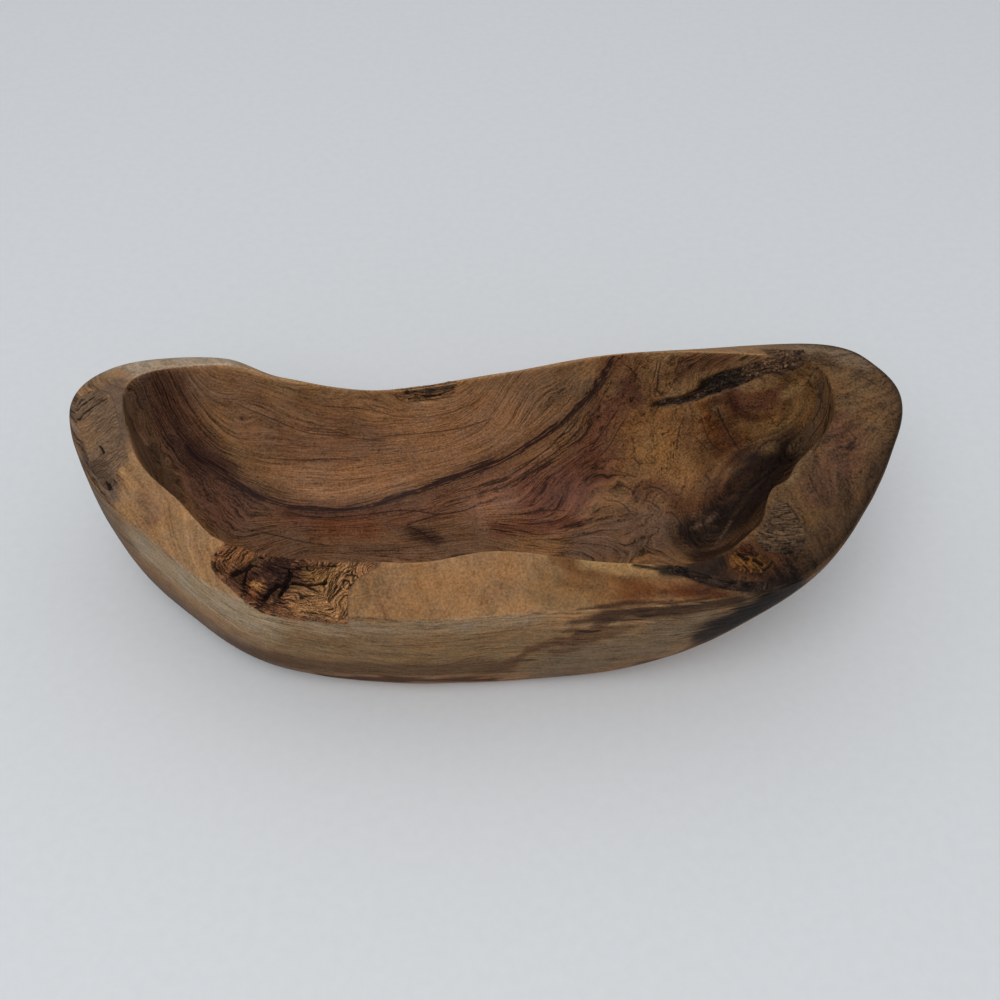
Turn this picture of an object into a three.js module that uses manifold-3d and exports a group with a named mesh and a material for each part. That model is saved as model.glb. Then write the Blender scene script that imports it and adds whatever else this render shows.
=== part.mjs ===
// Rustic dough bowl, carved from one split olive log and hollowed from the bark side.
// The hull is lofted around a natural rim: the rim face is the round surface of the log,
// with the bark, a bark-filled crevice and two grown-in knots left where they were.
// Millimetres, +Z up, front towards -Y, the flat foot centred on the origin at z = 0.
import * as THREE from 'three';
import { mergeVertices, toCreasedNormals } from 'three/addons/utils/BufferGeometryUtils.js';
import Module from 'manifold-3d';

// Hull
const LENGTH = 300; // rim outline, end to end
const WIDTH = 118; // rim outline, front to back
const HEIGHT = 75; // highest point of the rim
const FOOT_LENGTH = 190; // flat oval that the bowl stands on
const FOOT_WIDTH = 92;
const RIM_OFFSET = 16; // middle of the rim outline, right of the middle of the foot

// Rim face
const RIM_WIDTH = 25; // nominal width seen from above, scaled at each station
const RIM_DIP = 18; // nominal sag below the highest point, scaled at each station
const RIM_FALL = 15; // nominal drop from the inner to the outer edge, scaled at each station
const RIM_CROWN = 1; // swell half way across the face, from the roundness of the log
const EDGE_EASING = 1.4; // length worn off both sides of each rim edge

// Hollow
const FLOOR_THICKNESS = 12; // wood left under the hollow
const FLOOR_LENGTH = 150; // level oval at the bottom of the hollow
const FLOOR_WIDTH = 40;
const HOLLOW_FULLNESS = 2; // 1 is a straight slope, 2 an ellipse, more is boxier

// Bark, knots and their seats
const FRONT_BARK_LENGTH = 55;
const FRONT_BARK_WIDTH = 23;
const LEFT_BARK_LENGTH = 46;
const LEFT_BARK_WIDTH = 17;
const BACK_BARK_LENGTH = 27;
const BACK_BARK_WIDTH = 13;
const BARK_DEPTH = 5; // thickness of the three bark patches at their middle
const SEAM_LENGTH = 48;
const SEAM_WIDTH = 6;
const SEAM_DEPTH = 5;
const POCKET_LENGTH = 57;
const POCKET_WIDTH = 9;
const POCKET_DEPTH = 4;
const KNOT_LENGTH = 19; // sawn branch stub in the rim
const KNOT_WIDTH = 19;
const KNOT_DEPTH = 4;
const KNOT_BARK_LENGTH = 13; // barky knot beside the stub
const KNOT_BARK_WIDTH = 12;
const KNOT_BARK_DEPTH = 3;
const SEAT_CLEARANCE = 0.3; // gap around and under each piece in its seat
const CUTTER_REACH = 14; // how far a seat cutter stands out of the wood

// Facets
const STEPS_AROUND = 120;
const WALL_STEPS = 8;
const FACE_STEPS = 4;
const HOLLOW_STEPS = 11;
const OUTLINE_STEPS = 60;
const CREASE = THREE.MathUtils.degToRad(28);
const WELD = 1e-4;

// Rim stations, counter-clockwise from the right tip. x and y are shares of half the length
// and width, full is the fullness of the outer wall below, and dip, band and fall scale
// RIM_DIP, RIM_WIDTH and RIM_FALL.
const RIM = [
  { x: 1.0, y: 0.4, full: 1.8, dip: 0.24, band: 1.32, fall: 0.4 }, // right tip
  { x: 0.97, y: 0.81, full: 1.8, dip: 0.16, band: 1.14, fall: 0.4 },
  { x: 0.81, y: 1.0, full: 1.9, dip: 0.1, band: 0.66, fall: 0.4 }, // back right corner
  { x: 0.38, y: 0.99, full: 2.0, dip: 0.0, band: 0.5, fall: 0.93 },
  { x: 0.03, y: 0.94, full: 2.0, dip: 0.48, band: 0.48, fall: 0.93 },
  { x: -0.27, y: 0.92, full: 2.0, dip: 0.89, band: 0.48, fall: 0.93 }, // lowest of the back
  { x: -0.51, y: 0.92, full: 2.0, dip: 0.54, band: 0.48, fall: 0.9 },
  { x: -0.66, y: 0.87, full: 2.0, dip: 0.18, band: 0.34, fall: 0.34 }, // back left corner
  { x: -0.9, y: 0.78, full: 2.0, dip: 0.18, band: 0.5, fall: 0.2 },
  { x: -1.0, y: 0.47, full: 2.1, dip: 0.18, band: 0.98, fall: 0.27 }, // left tip
  { x: -0.92, y: -0.08, full: 2.3, dip: 0.24, band: 0.76, fall: 0.45 },
  { x: -0.77, y: -0.45, full: 2.3, dip: 0.4, band: 0.58, fall: 0.56 },
  { x: -0.53, y: -0.88, full: 2.2, dip: 0.55, band: 0.6, fall: 0.56 }, // front left
  { x: -0.18, y: -1.0, full: 2.1, dip: 0.58, band: 0.68, fall: 0.6 },
  { x: 0.03, y: -0.97, full: 2.1, dip: 0.42, band: 0.72, fall: 0.8 },
  { x: 0.29, y: -0.93, full: 2.1, dip: 0.48, band: 0.46, fall: 0.7 },
  { x: 0.5, y: -0.9, full: 1.9, dip: 0.46, band: 0.48, fall: 0.55 }, // notch beside the knots
  { x: 0.69, y: -0.77, full: 1.5, dip: 0.33, band: 1.18, fall: 0.6 },
  { x: 0.84, y: -0.4, full: 1.5, dip: 0.26, band: 1.06, fall: 0.54 },
];

// Outlines of the inlaid pieces, clockwise, as shares of half their length and width. The
// first direction runs counter-clockwise along the rim, the second towards the hollow.
const FRONT_BARK_OUTLINE = [
  [-1, 0.2], [-0.92, 0.75], [-0.68, 1], [-0.4, 0.85], [0, 1], [0.6, 1], [1, 0.92],
  [0.76, 0.4], [0.65, -0.1], [0.65, -1], [0.1, -1], [-0.35, -0.85], [-0.7, -0.35],
];
const LEFT_BARK_OUTLINE = [
  [-0.84, -0.66], [-0.92, -0.12], [-0.85, 0.4], [-0.72, 0.68], [-0.45, 0.8], [0, 0.8],
  [0.4, 0.8], [0.7, 0.78], [0.74, 0.35], [0.86, 0.06], [1, -0.24], [0.85, -0.52], [0.5, -0.68],
  [0.1, -0.72], [-0.35, -0.8], [-0.6, -0.78],
];
const BACK_BARK_OUTLINE = [
  [-1, 0.6], [-0.9, 1], [0.85, 1], [1, 0.5], [0.6, -0.3], [0.1, -1], [-0.5, -0.8], [-0.75, 0],
];
const SEAM_OUTLINE = [
  [-1, 1], [-0.5, 0.7], [0, 0.1], [0.5, 0], [1, 0.3], [0.75, -0.7], [0.3, -1], [-0.1, -0.6],
  [-0.6, 0.1],
];
const POCKET_OUTLINE = [
  [1, 0.05], [0.85, -0.3], [0.66, 0.2], [0.49, 0.15], [0.33, 0.05], [0.26, -0.7], [0.1, -0.95],
  [-0.06, -0.9], [-0.28, -0.78], [-0.55, -0.78], [-0.8, -0.55], [-1, 0.15], [-0.87, 0.75],
  [-0.67, 0.95], [-0.42, 0.6], [-0.2, 0.78], [0.02, 0.95], [0.21, 0.85], [0.4, 0.8],
  [0.63, 0.85], [0.84, 0.6],
];
const KNOT_OUTLINE = [
  [0.8, 0.6], [0.92, 0.38], [0.92, 0.1], [0.77, -0.23], [0.61, -0.57], [0.35, -0.84],
  [-0.07, -1], [-0.41, -0.81], [-0.77, -0.39], [-1, -0.01], [-0.97, 0.24], [-0.88, 0.42],
  [-0.38, 0.5], [0.22, 0.58],
];
const KNOT_BARK_OUTLINE = [
  [-0.92, 0.45], [-0.34, 0.68], [0.22, 0.72], [0.38, 0.5], [0.4, 0.11], [0.65, -0.38],
  [0.93, -0.77], [0.72, -1], [0.19, -0.83], [-0.33, -0.54], [-0.78, -0.15], [-1, 0.15],
];

const wasm = await Module();
wasm.setup();

// Closed curves through the stations: the rim outline with its fullness, and the rim face
const closedCurve = (points) => new THREE.CatmullRomCurve3(points, true, 'catmullrom', 0.5);
const outlineCurve = closedCurve(RIM.map(({ x, y, full }) => new THREE.Vector3(x, y, full)));
const faceCurve = closedCurve(RIM.map(({ dip, band, fall }) => new THREE.Vector3(dip, band, fall)));

// The four guide points of the section at t, from 0 to 1 around the rim, and its wall fullness
function guides(t) {
  const share = outlineCurve.getPoint(t);
  const face = faceCurve.getPoint(t);
  const outline = new THREE.Vector2((share.x * LENGTH) / 2, (share.y * WIDTH) / 2);
  const keelReach = (LENGTH - WIDTH) / 2;
  const keel = new THREE.Vector2(THREE.MathUtils.clamp(outline.x, -keelReach, keelReach), 0);
  const inward = keel.sub(outline).setLength(face.y * RIM_WIDTH);
  const heading = new THREE.Vector2(share.x, share.y).normalize();
  const innerHeight = HEIGHT - face.x * RIM_DIP;
  const outerHeight = innerHeight - face.z * RIM_FALL;
  return {
    foot: new THREE.Vector3((heading.x * FOOT_LENGTH) / 2, (heading.y * FOOT_WIDTH) / 2, 0),
    outer: new THREE.Vector3(outline.x + RIM_OFFSET, outline.y, outerHeight),
    inner: new THREE.Vector3(outline.x + inward.x + RIM_OFFSET, outline.y + inward.y, innerHeight),
    floor: new THREE.Vector3(
      (heading.x * FLOOR_LENGTH) / 2 + RIM_OFFSET,
      (heading.y * FLOOR_WIDTH) / 2,
      FLOOR_THICKNESS,
    ),
    fullness: share.z,
  };
}

// Quarter of a superellipse that leaves low level and reaches high upright
function sweep(low, high, u, fullness) {
  const angle = (u * Math.PI) / 2;
  const reach = Math.sin(angle) ** (2 / fullness);
  const rise = 1 - Math.max(Math.cos(angle), 0) ** (2 / fullness);
  const point = low.clone().lerp(high, reach);
  point.z = THREE.MathUtils.lerp(low.z, high.z, rise);
  return point;
}

// The three surfaces of the hull at t: s runs from the foot up, across the rim, and down inside
function outerWall(t, s) {
  const { foot, outer, fullness } = guides(t);
  return sweep(foot, outer, s, fullness);
}

function rimFace(t, s) {
  const { outer, inner } = guides(t);
  const point = outer.clone().lerp(inner, s);
  point.z += RIM_CROWN * 4 * s * (1 - s);
  return point;
}

function hollowWall(t, s) {
  const { inner, floor } = guides(t);
  return sweep(floor, inner, 1 - s, HOLLOW_FULLNESS);
}

// Three points that round the corner between two neighbours of a section
function easedCorner(before, corner, after) {
  const start = corner.clone().add(before.clone().sub(corner).setLength(EDGE_EASING));
  const end = corner.clone().add(after.clone().sub(corner).setLength(EDGE_EASING));
  return new THREE.QuadraticBezierCurve3(start, corner, end).getPoints(2);
}

// One section of the hull, from the edge of the foot to the edge of the floor
function section(t) {
  const strip = (surface, steps) =>
    Array.from({ length: steps + 1 }, (_, step) => surface(t, step / steps));
  const wall = strip(outerWall, WALL_STEPS);
  const face = strip(rimFace, FACE_STEPS);
  const hollow = strip(hollowWall, HOLLOW_STEPS);
  return [
    ...wall.slice(0, -1),
    ...easedCorner(wall.at(-2), face[0], face[1]),
    ...face.slice(1, -1),
    ...easedCorner(face.at(-2), hollow[0], hollow[1]),
    ...hollow.slice(1),
  ];
}

// Closed skin over the sections, capped flat by the foot and by the floor
function hullGeometry() {
  const sections = Array.from({ length: STEPS_AROUND }, (_, k) => section(k / STEPS_AROUND));
  const rows = sections[0].length;
  const footCentre = STEPS_AROUND * rows;
  const floorCentre = footCentre + 1;
  const points = [
    ...sections.flat(),
    new THREE.Vector3(0, 0, 0),
    new THREE.Vector3(RIM_OFFSET, 0, FLOOR_THICKNESS),
  ];
  const index = [];
  for (let k = 0; k < STEPS_AROUND; k += 1) {
    const here = k * rows;
    const next = ((k + 1) % STEPS_AROUND) * rows;
    index.push(footCentre, next, here);
    for (let row = 0; row < rows - 1; row += 1) {
      index.push(here + row, next + row, next + row + 1);
      index.push(here + row, next + row + 1, here + row + 1);
    }
    index.push(floorCentre, here + rows - 1, next + rows - 1);
  }
  const geometry = new THREE.BufferGeometry().setFromPoints(points);
  return geometry.setIndex(index);
}

function solidOf(geometry) {
  const bare = geometry.clone();
  bare.deleteAttribute('normal');
  bare.deleteAttribute('uv');
  const merged = mergeVertices(bare, WELD);
  return new wasm.Manifold(new wasm.Mesh({
    numProp: 3,
    vertProperties: new Float32Array(merged.attributes.position.array),
    triVerts: new Uint32Array(merged.index.array),
  }));
}

function geometryOf(solid) {
  const { vertProperties, triVerts } = solid.getMesh();
  const geometry = new THREE.BufferGeometry();
  geometry.setAttribute('position', new THREE.BufferAttribute(new Float32Array(vertProperties), 3));
  geometry.setIndex(new THREE.BufferAttribute(new Uint32Array(triVerts), 1));
  return toCreasedNormals(geometry, CREASE);
}

// Frame on a surface of the hull: along the rim, towards the hollow, and out of the wood
function seatFrame({ surface, around, across, turn }) {
  const nudge = 1e-4;
  const along = surface(around + nudge, across).sub(surface(around - nudge, across)).normalize();
  const slope = surface(around, across + nudge).sub(surface(around, across - nudge));
  const outward = new THREE.Vector3().crossVectors(along, slope).normalize();
  const inward = new THREE.Vector3().crossVectors(outward, along);
  return new THREE.Matrix4()
    .makeBasis(along, inward, outward)
    .setPosition(surface(around, across))
    .multiply(new THREE.Matrix4().makeRotationZ(THREE.MathUtils.degToRad(turn)));
}

// Outline of a piece in its own plane, each point moved outwards by a gap
function grownOutline({ outline, length, width }, gap) {
  const corners = outline.map(([a, b]) => new THREE.Vector3((a * length) / 2, (b * width) / 2, 0));
  const loop = closedCurve(corners).getPoints(OUTLINE_STEPS).slice(0, -1);
  return loop.map((point, k) => {
    const run = loop[(k + 1) % loop.length].clone().sub(loop.at(k - 1));
    const outward = new THREE.Vector2(-run.y, run.x).setLength(gap);
    return outward.add(point);
  });
}

// Straight plug through the surface, with the outline and depth of a piece grown by a gap
function cutter(piece, gap) {
  const shape = new THREE.Shape(grownOutline(piece, gap));
  const depth = piece.depth + gap;
  const plug = new THREE.ExtrudeGeometry(shape, {
    depth: depth + CUTTER_REACH,
    bevelEnabled: false,
  });
  plug.translate(0, 0, -depth);
  return solidOf(plug.applyMatrix4(seatFrame(piece)));
}

// Inlaid pieces: how far around the rim and across its surface they sit, as shares of both,
// how they are turned there, in degrees, their size and their finish
const INLAYS = [
  {
    name: 'front_bark',
    surface: rimFace, around: 0.649, across: 0.5, turn: 0,
    length: FRONT_BARK_LENGTH, width: FRONT_BARK_WIDTH, depth: BARK_DEPTH,
    outline: FRONT_BARK_OUTLINE,
    colour: '#5a3a20', roughness: 0.92,
  },
  {
    name: 'left_end_bark',
    surface: rimFace, around: 0.498, across: 0.52, turn: 0,
    length: LEFT_BARK_LENGTH, width: LEFT_BARK_WIDTH, depth: BARK_DEPTH,
    outline: LEFT_BARK_OUTLINE,
    colour: '#5b4a3a', roughness: 0.94,
  },
  {
    name: 'back_rim_bark',
    surface: rimFace, around: 0.2405, across: 0.75, turn: 0,
    length: BACK_BARK_LENGTH, width: BACK_BARK_WIDTH, depth: BARK_DEPTH,
    outline: BACK_BARK_OUTLINE,
    colour: '#3a2619', roughness: 0.94,
  },
  {
    name: 'right_bark_seam',
    surface: rimFace, around: 0.834, across: 0.6, turn: -21,
    length: SEAM_LENGTH, width: SEAM_WIDTH, depth: SEAM_DEPTH,
    outline: SEAM_OUTLINE,
    colour: '#2a1a10', roughness: 0.95,
  },
  {
    name: 'rim_knot',
    surface: rimFace, around: 0.8902, across: 0.6, turn: 0,
    length: KNOT_LENGTH, width: KNOT_WIDTH, depth: KNOT_DEPTH,
    outline: KNOT_OUTLINE,
    colour: '#5f4a38', roughness: 0.75,
  },
  {
    name: 'knot_bark',
    surface: rimFace, around: 0.8623, across: 0.56, turn: 0,
    length: KNOT_BARK_LENGTH, width: KNOT_BARK_WIDTH, depth: KNOT_BARK_DEPTH,
    outline: KNOT_BARK_OUTLINE,
    colour: '#6a3f1c', roughness: 0.9,
  },
  {
    name: 'inner_bark_pocket',
    surface: hollowWall, around: 0.131, across: 0.131, turn: 28,
    length: POCKET_LENGTH, width: POCKET_WIDTH, depth: POCKET_DEPTH,
    outline: POCKET_OUTLINE,
    colour: '#241712', roughness: 0.95,
  },
];

function namedMesh(name, solid, colour, roughness) {
  const material = new THREE.MeshStandardMaterial({ color: colour, roughness, metalness: 0 });
  const mesh = new THREE.Mesh(geometryOf(solid), material);
  mesh.name = name;
  return mesh;
}

// The hull gives each inlay its shape, and each inlay takes its seat out of the hull
const hull = solidOf(hullGeometry());
const bowl = new THREE.Group();
let body = hull;
for (const piece of INLAYS) {
  const inlay = hull.intersect(cutter(piece, 0));
  bowl.add(namedMesh(piece.name, inlay, piece.colour, piece.roughness));
  body = body.subtract(cutter(piece, SEAT_CLEARANCE));
}
bowl.add(namedMesh('bowl_body', body, '#7a5638', 0.55));

export default bowl;
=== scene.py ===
import functools
import math

import bmesh
import bpy
import numpy as np
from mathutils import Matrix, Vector, noise
from mathutils.bvhtree import BVHTree


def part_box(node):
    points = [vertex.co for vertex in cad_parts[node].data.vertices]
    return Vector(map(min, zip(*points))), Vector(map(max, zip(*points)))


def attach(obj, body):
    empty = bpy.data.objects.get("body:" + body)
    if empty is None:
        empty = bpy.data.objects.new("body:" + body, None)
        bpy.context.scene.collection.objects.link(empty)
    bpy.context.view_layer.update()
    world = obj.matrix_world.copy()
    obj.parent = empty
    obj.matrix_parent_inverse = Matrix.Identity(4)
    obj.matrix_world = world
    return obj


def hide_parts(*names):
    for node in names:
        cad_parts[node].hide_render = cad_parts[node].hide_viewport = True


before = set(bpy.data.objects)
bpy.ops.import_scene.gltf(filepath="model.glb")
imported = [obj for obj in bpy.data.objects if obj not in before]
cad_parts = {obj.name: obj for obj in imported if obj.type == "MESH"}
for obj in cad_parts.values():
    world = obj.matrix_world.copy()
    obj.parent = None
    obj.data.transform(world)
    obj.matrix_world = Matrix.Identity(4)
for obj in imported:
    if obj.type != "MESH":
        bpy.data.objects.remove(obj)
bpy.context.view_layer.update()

bl_info = {
    "name": "Olive Wood Dough Bowl",
    "version": (1, 0, 0),
    "blender": (4, 5, 0),
    "location": "View3D > Sidebar > Dough Bowl",
    "description": "Carves a rustic dough bowl with a natural rim, bark and grown-in knots",
    "category": "Object",
}

MM = 0.001
BODY = "root"

# Rim stations, counter-clockwise from the right tip: x and y as shares of half the length and
# width, the fullness of the outer wall, and the shares of the dip, the rim width and the fall.
RIM_STATIONS = np.array([
    (1.00, 0.40, 1.8, 0.24, 1.32, 0.40),
    (0.97, 0.81, 1.8, 0.16, 1.14, 0.40),
    (0.81, 1.00, 1.9, 0.10, 0.66, 0.40),
    (0.38, 0.99, 2.0, 0.00, 0.50, 0.93),
    (0.03, 0.94, 2.0, 0.48, 0.48, 0.93),
    (-0.27, 0.92, 2.0, 0.89, 0.48, 0.93),
    (-0.51, 0.92, 2.0, 0.54, 0.48, 0.90),
    (-0.66, 0.87, 2.0, 0.18, 0.34, 0.34),
    (-0.90, 0.78, 2.0, 0.18, 0.50, 0.20),
    (-1.00, 0.47, 2.1, 0.18, 0.98, 0.27),
    (-0.92, -0.08, 2.3, 0.24, 0.76, 0.45),
    (-0.77, -0.45, 2.3, 0.40, 0.58, 0.56),
    (-0.53, -0.88, 2.2, 0.55, 0.60, 0.56),
    (-0.18, -1.00, 2.1, 0.58, 0.68, 0.60),
    (0.03, -0.97, 2.1, 0.42, 0.72, 0.80),
    (0.29, -0.93, 2.1, 0.48, 0.46, 0.70),
    (0.50, -0.90, 1.9, 0.46, 0.48, 0.55),
    (0.69, -0.77, 1.5, 0.33, 1.18, 0.60),
    (0.84, -0.40, 1.5, 0.26, 1.06, 0.54),
])
OUTLINE_STEPS = 720


def curve(a, b, c, d, w):
    """Smooth curve from b to c, at the share w of the way, with its neighbours a and d."""
    return 0.5 * (2 * b + (c - a) * w + (2 * a - 5 * b + 4 * c - d) * w**2
                  + (3 * b - a - 3 * c + d) * w**3)


def around_rim(values, t):
    """Closed smooth curve through the stations, at shares t of the way around."""
    place = np.asarray(t) * len(values)
    first = np.floor(place).astype(int)
    stations = (values[(first + k) % len(values)] for k in (-1, 0, 1, 2))
    return curve(*stations, (place - first)[..., None])


# Driving sizes that the frame gives: the body's box, and the span of the rim outline in it
BODY_LOW, BODY_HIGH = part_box("bowl_body")
OUTLINE = around_rim(RIM_STATIONS, np.linspace(0, 1, OUTLINE_STEPS, endpoint=False))
X_LOW, X_HIGH = OUTLINE[:, 0].min(), OUTLINE[:, 0].max()
Y_LOW, Y_HIGH = OUTLINE[:, 1].min(), OUTLINE[:, 1].max()
RIM_LENGTH = 2 * (BODY_HIGH.x - BODY_LOW.x) / (X_HIGH - X_LOW)
RIM_BREADTH = 2 * (BODY_HIGH.y - BODY_LOW.y) / (Y_HIGH - Y_LOW)
RIM_MIDDLE = (BODY_HIGH.x + BODY_LOW.x) / 2 - RIM_LENGTH * (X_HIGH + X_LOW) / 4
WORN_OFF_TOP = 0.3 * MM
RIM_TOP = BODY_HIGH.z + WORN_OFF_TOP


def linear(colour):
    """Linear red, green and blue of an sRGB hex colour."""
    parts = [int(colour[k:k + 2], 16) / 255 for k in (1, 3, 5)]
    return tuple(p / 12.92 if p <= 0.04045 else ((p + 0.055) / 1.055) ** 2.4 for p in parts)


def rgba(colour):
    return (*colour, 1.0)


def size_setting(name, description, default):
    """A length that a user may change, in metres."""
    return bpy.props.FloatProperty(name=name, description=description, default=default, unit="LENGTH")


def colour_setting(name, description, colour):
    """A colour that a user may change, given as sRGB hex."""
    return bpy.props.FloatVectorProperty(name=name, description=description, default=linear(colour),
                                         subtype="COLOR")


class BowlSizes(bpy.types.PropertyGroup):
    """Sizes of the carved hull"""

    length: size_setting("Length", "Rim outline, end to end", RIM_LENGTH)
    width: size_setting("Width", "Rim outline, front to back", RIM_BREADTH)
    height: size_setting("Height", "Highest point of the rim", RIM_TOP)
    rim_offset: size_setting("Rim offset", "Middle of the rim, right of the middle of the foot", RIM_MIDDLE)
    foot_length: size_setting("Foot length", "Flat oval that the bowl stands on", 190 * MM)
    foot_width: size_setting("Foot width", "Flat oval, front to back", 92 * MM)
    rim_width: size_setting("Rim width", "Nominal width of the rim face", 25 * MM)
    rim_dip: size_setting("Rim dip", "Nominal sag of the rim", 18 * MM)
    rim_fall: size_setting("Rim fall", "Nominal drop across the rim face", 15 * MM)
    rim_crown: size_setting("Rim crown", "Swell half way across the rim face", 1 * MM)
    edge_easing: size_setting("Edge easing", "Length worn off both sides of each rim edge", 1.4 * MM)
    floor_thickness: size_setting("Floor thickness", "Wood left under the hollow", 12 * MM)
    floor_length: size_setting("Floor length", "Level oval at the bottom of the hollow", 150 * MM)
    floor_width: size_setting("Floor width", "Level oval, front to back", 40 * MM)
    hand_waver: size_setting("Hand waver", "How far the hand-carved faces waver", 0.45 * MM)
    seat_dish: size_setting("Seat dish", "Depth of the wood under bark and knots", 3.4 * MM)
    bark_grain: size_setting("Bark grain", "Facets that bark and knots are modelled with", 0.25 * MM)


class WoodColours(bpy.types.PropertyGroup):
    """Colours of the wood, the bark and the knots"""

    sapwood: colour_setting("Sapwood", "Pale outer wood", "#94704c")
    heartwood: colour_setting("Heartwood", "Brown inner wood", "#85603f")
    knotty_wood: colour_setting("Knotty wood", "Dark brown wood of the right end", "#64492f")
    # grey weathered wood; low on the left of the wall it is painted shade as well
    weathered_and_shaded_wood: colour_setting("Weathered wood", "Grey wood low on the left end", "#564a3f")
    heart_streak: colour_setting("Heart streak", "Dark heartwood streaks of the outer wall", "#4f3422")
    vein: colour_setting("Vein", "Dark vein through the hollow", "#2b191a")
    rim_bark: colour_setting("Rim bark", "Fibrous bark on the front rim", "#8f6040")
    weathered_bark: colour_setting("Weathered bark", "Grey-brown bark on the left end", "#7d634c")
    ingrown_bark: colour_setting("Ingrown bark", "Dark bark in the crevices", "#33251d")
    knot_wood: colour_setting("Knot wood", "Sawn end grain of the branch stub", "#5d4733")
    knot_bark: colour_setting("Knot bark", "Orange bark of the second knot", "#553418")


class StageSettings(bpy.types.PropertyGroup):
    """Floor, light and camera"""

    floor_colour: colour_setting("Floor", "Plain pale floor", "#e6e9eb")
    sky_strength: bpy.props.FloatProperty(
        name="Sky", description="Even light from all round", default=0.6)
    key_power: bpy.props.FloatProperty(
        name="Key light", description="Large soft light above and in front", default=4.0, unit="POWER")
    camera_elevation: bpy.props.FloatProperty(
        name="Camera elevation", description="How steeply the camera looks down",
        default=math.radians(50), subtype="ANGLE")
    camera_distance: size_setting("Camera distance", "From the camera to the point it looks at", 463 * MM)
    camera_target: bpy.props.FloatVectorProperty(
        name="Camera target", description="Point in the middle of the picture",
        default=(20.8 * MM, 9.0 * MM, 35.0 * MM), subtype="TRANSLATION", unit="LENGTH")
    lens: bpy.props.FloatProperty(
        name="Lens", description="Focal length on a 36 mm sensor, in mm", default=45.0)


# The photograph's frame, in pixels, the sensor that stands for its width, and the steps between two
# points of a line that was followed in it
PICTURE = 1000
SENSOR = 36.0
LINE_STEPS = 5

# Grain lines followed in the hollow, the vein first: how far each lies from the vein, across the
# grain, in mm (up the back wall is positive), and the line in pixels of the photograph
GRAIN = [
    (0, [(150, 372), (166, 403), (179, 432), (196, 455), (220, 468), (245, 490), (280, 503), (320, 510),
         (360, 508), (400, 497), (440, 482), (480, 468), (510, 455), (540, 437), (570, 415), (590, 395),
         (605, 375), (611, 354)]),
    (-8, [(142, 380), (150, 403), (163, 430), (182, 455), (203, 482), (222, 505), (262, 524)]),
    (-17, [(124, 392), (131, 417), (150, 447), (167, 470), (194, 497), (215, 518), (250, 542)]),
    (28, [(175, 382), (194, 413), (213, 436), (232, 447), (270, 453), (309, 455), (360, 455)]),
    (35, [(223, 403), (251, 420), (290, 434), (328, 440), (376, 442), (407, 441), (440, 435), (470, 422)]),
    (46, [(232, 388), (270, 400), (309, 411), (350, 420), (396, 424), (445, 417), (478, 402), (490, 389)]),
    (20, [(300, 470), (338, 468), (376, 464), (415, 458), (453, 450), (482, 438), (504, 415), (520, 385)]),
    (10, [(300, 488), (357, 484), (415, 475), (453, 467), (487, 457), (510, 442), (532, 420), (552, 385)]),
    (-7, [(300, 520), (357, 518), (403, 508), (453, 494), (491, 482), (530, 463), (568, 440), (598, 415)]),
    (-15, [(415, 519), (453, 513), (482, 507), (510, 494), (549, 467), (587, 440), (611, 405), (626, 375)]),
    (-31, [(466, 519), (491, 526), (520, 528), (539, 530), (568, 526), (598, 515), (640, 500)]),
    (-21, [(560, 473), (587, 456), (607, 444), (622, 428), (642, 412), (656, 401), (662, 372), (664, 350)]),
    (-42, [(300, 545), (360, 548), (420, 545), (480, 540), (540, 545), (600, 550)]),
    (-66, [(795, 361), (815, 383), (820, 408), (807, 428), (785, 444), (760, 462), (738, 490)]),
    (-52, [(715, 397), (734, 410), (754, 412), (775, 408), (795, 392)]),
    (-56, [(730, 526), (744, 510), (760, 491), (775, 477), (793, 469)]),
]
# The first points of the vein's line, at the left end, where it spreads into dark wood
VEIN_FROM = 13
FAR_FROM_VEIN = 50.0

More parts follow.
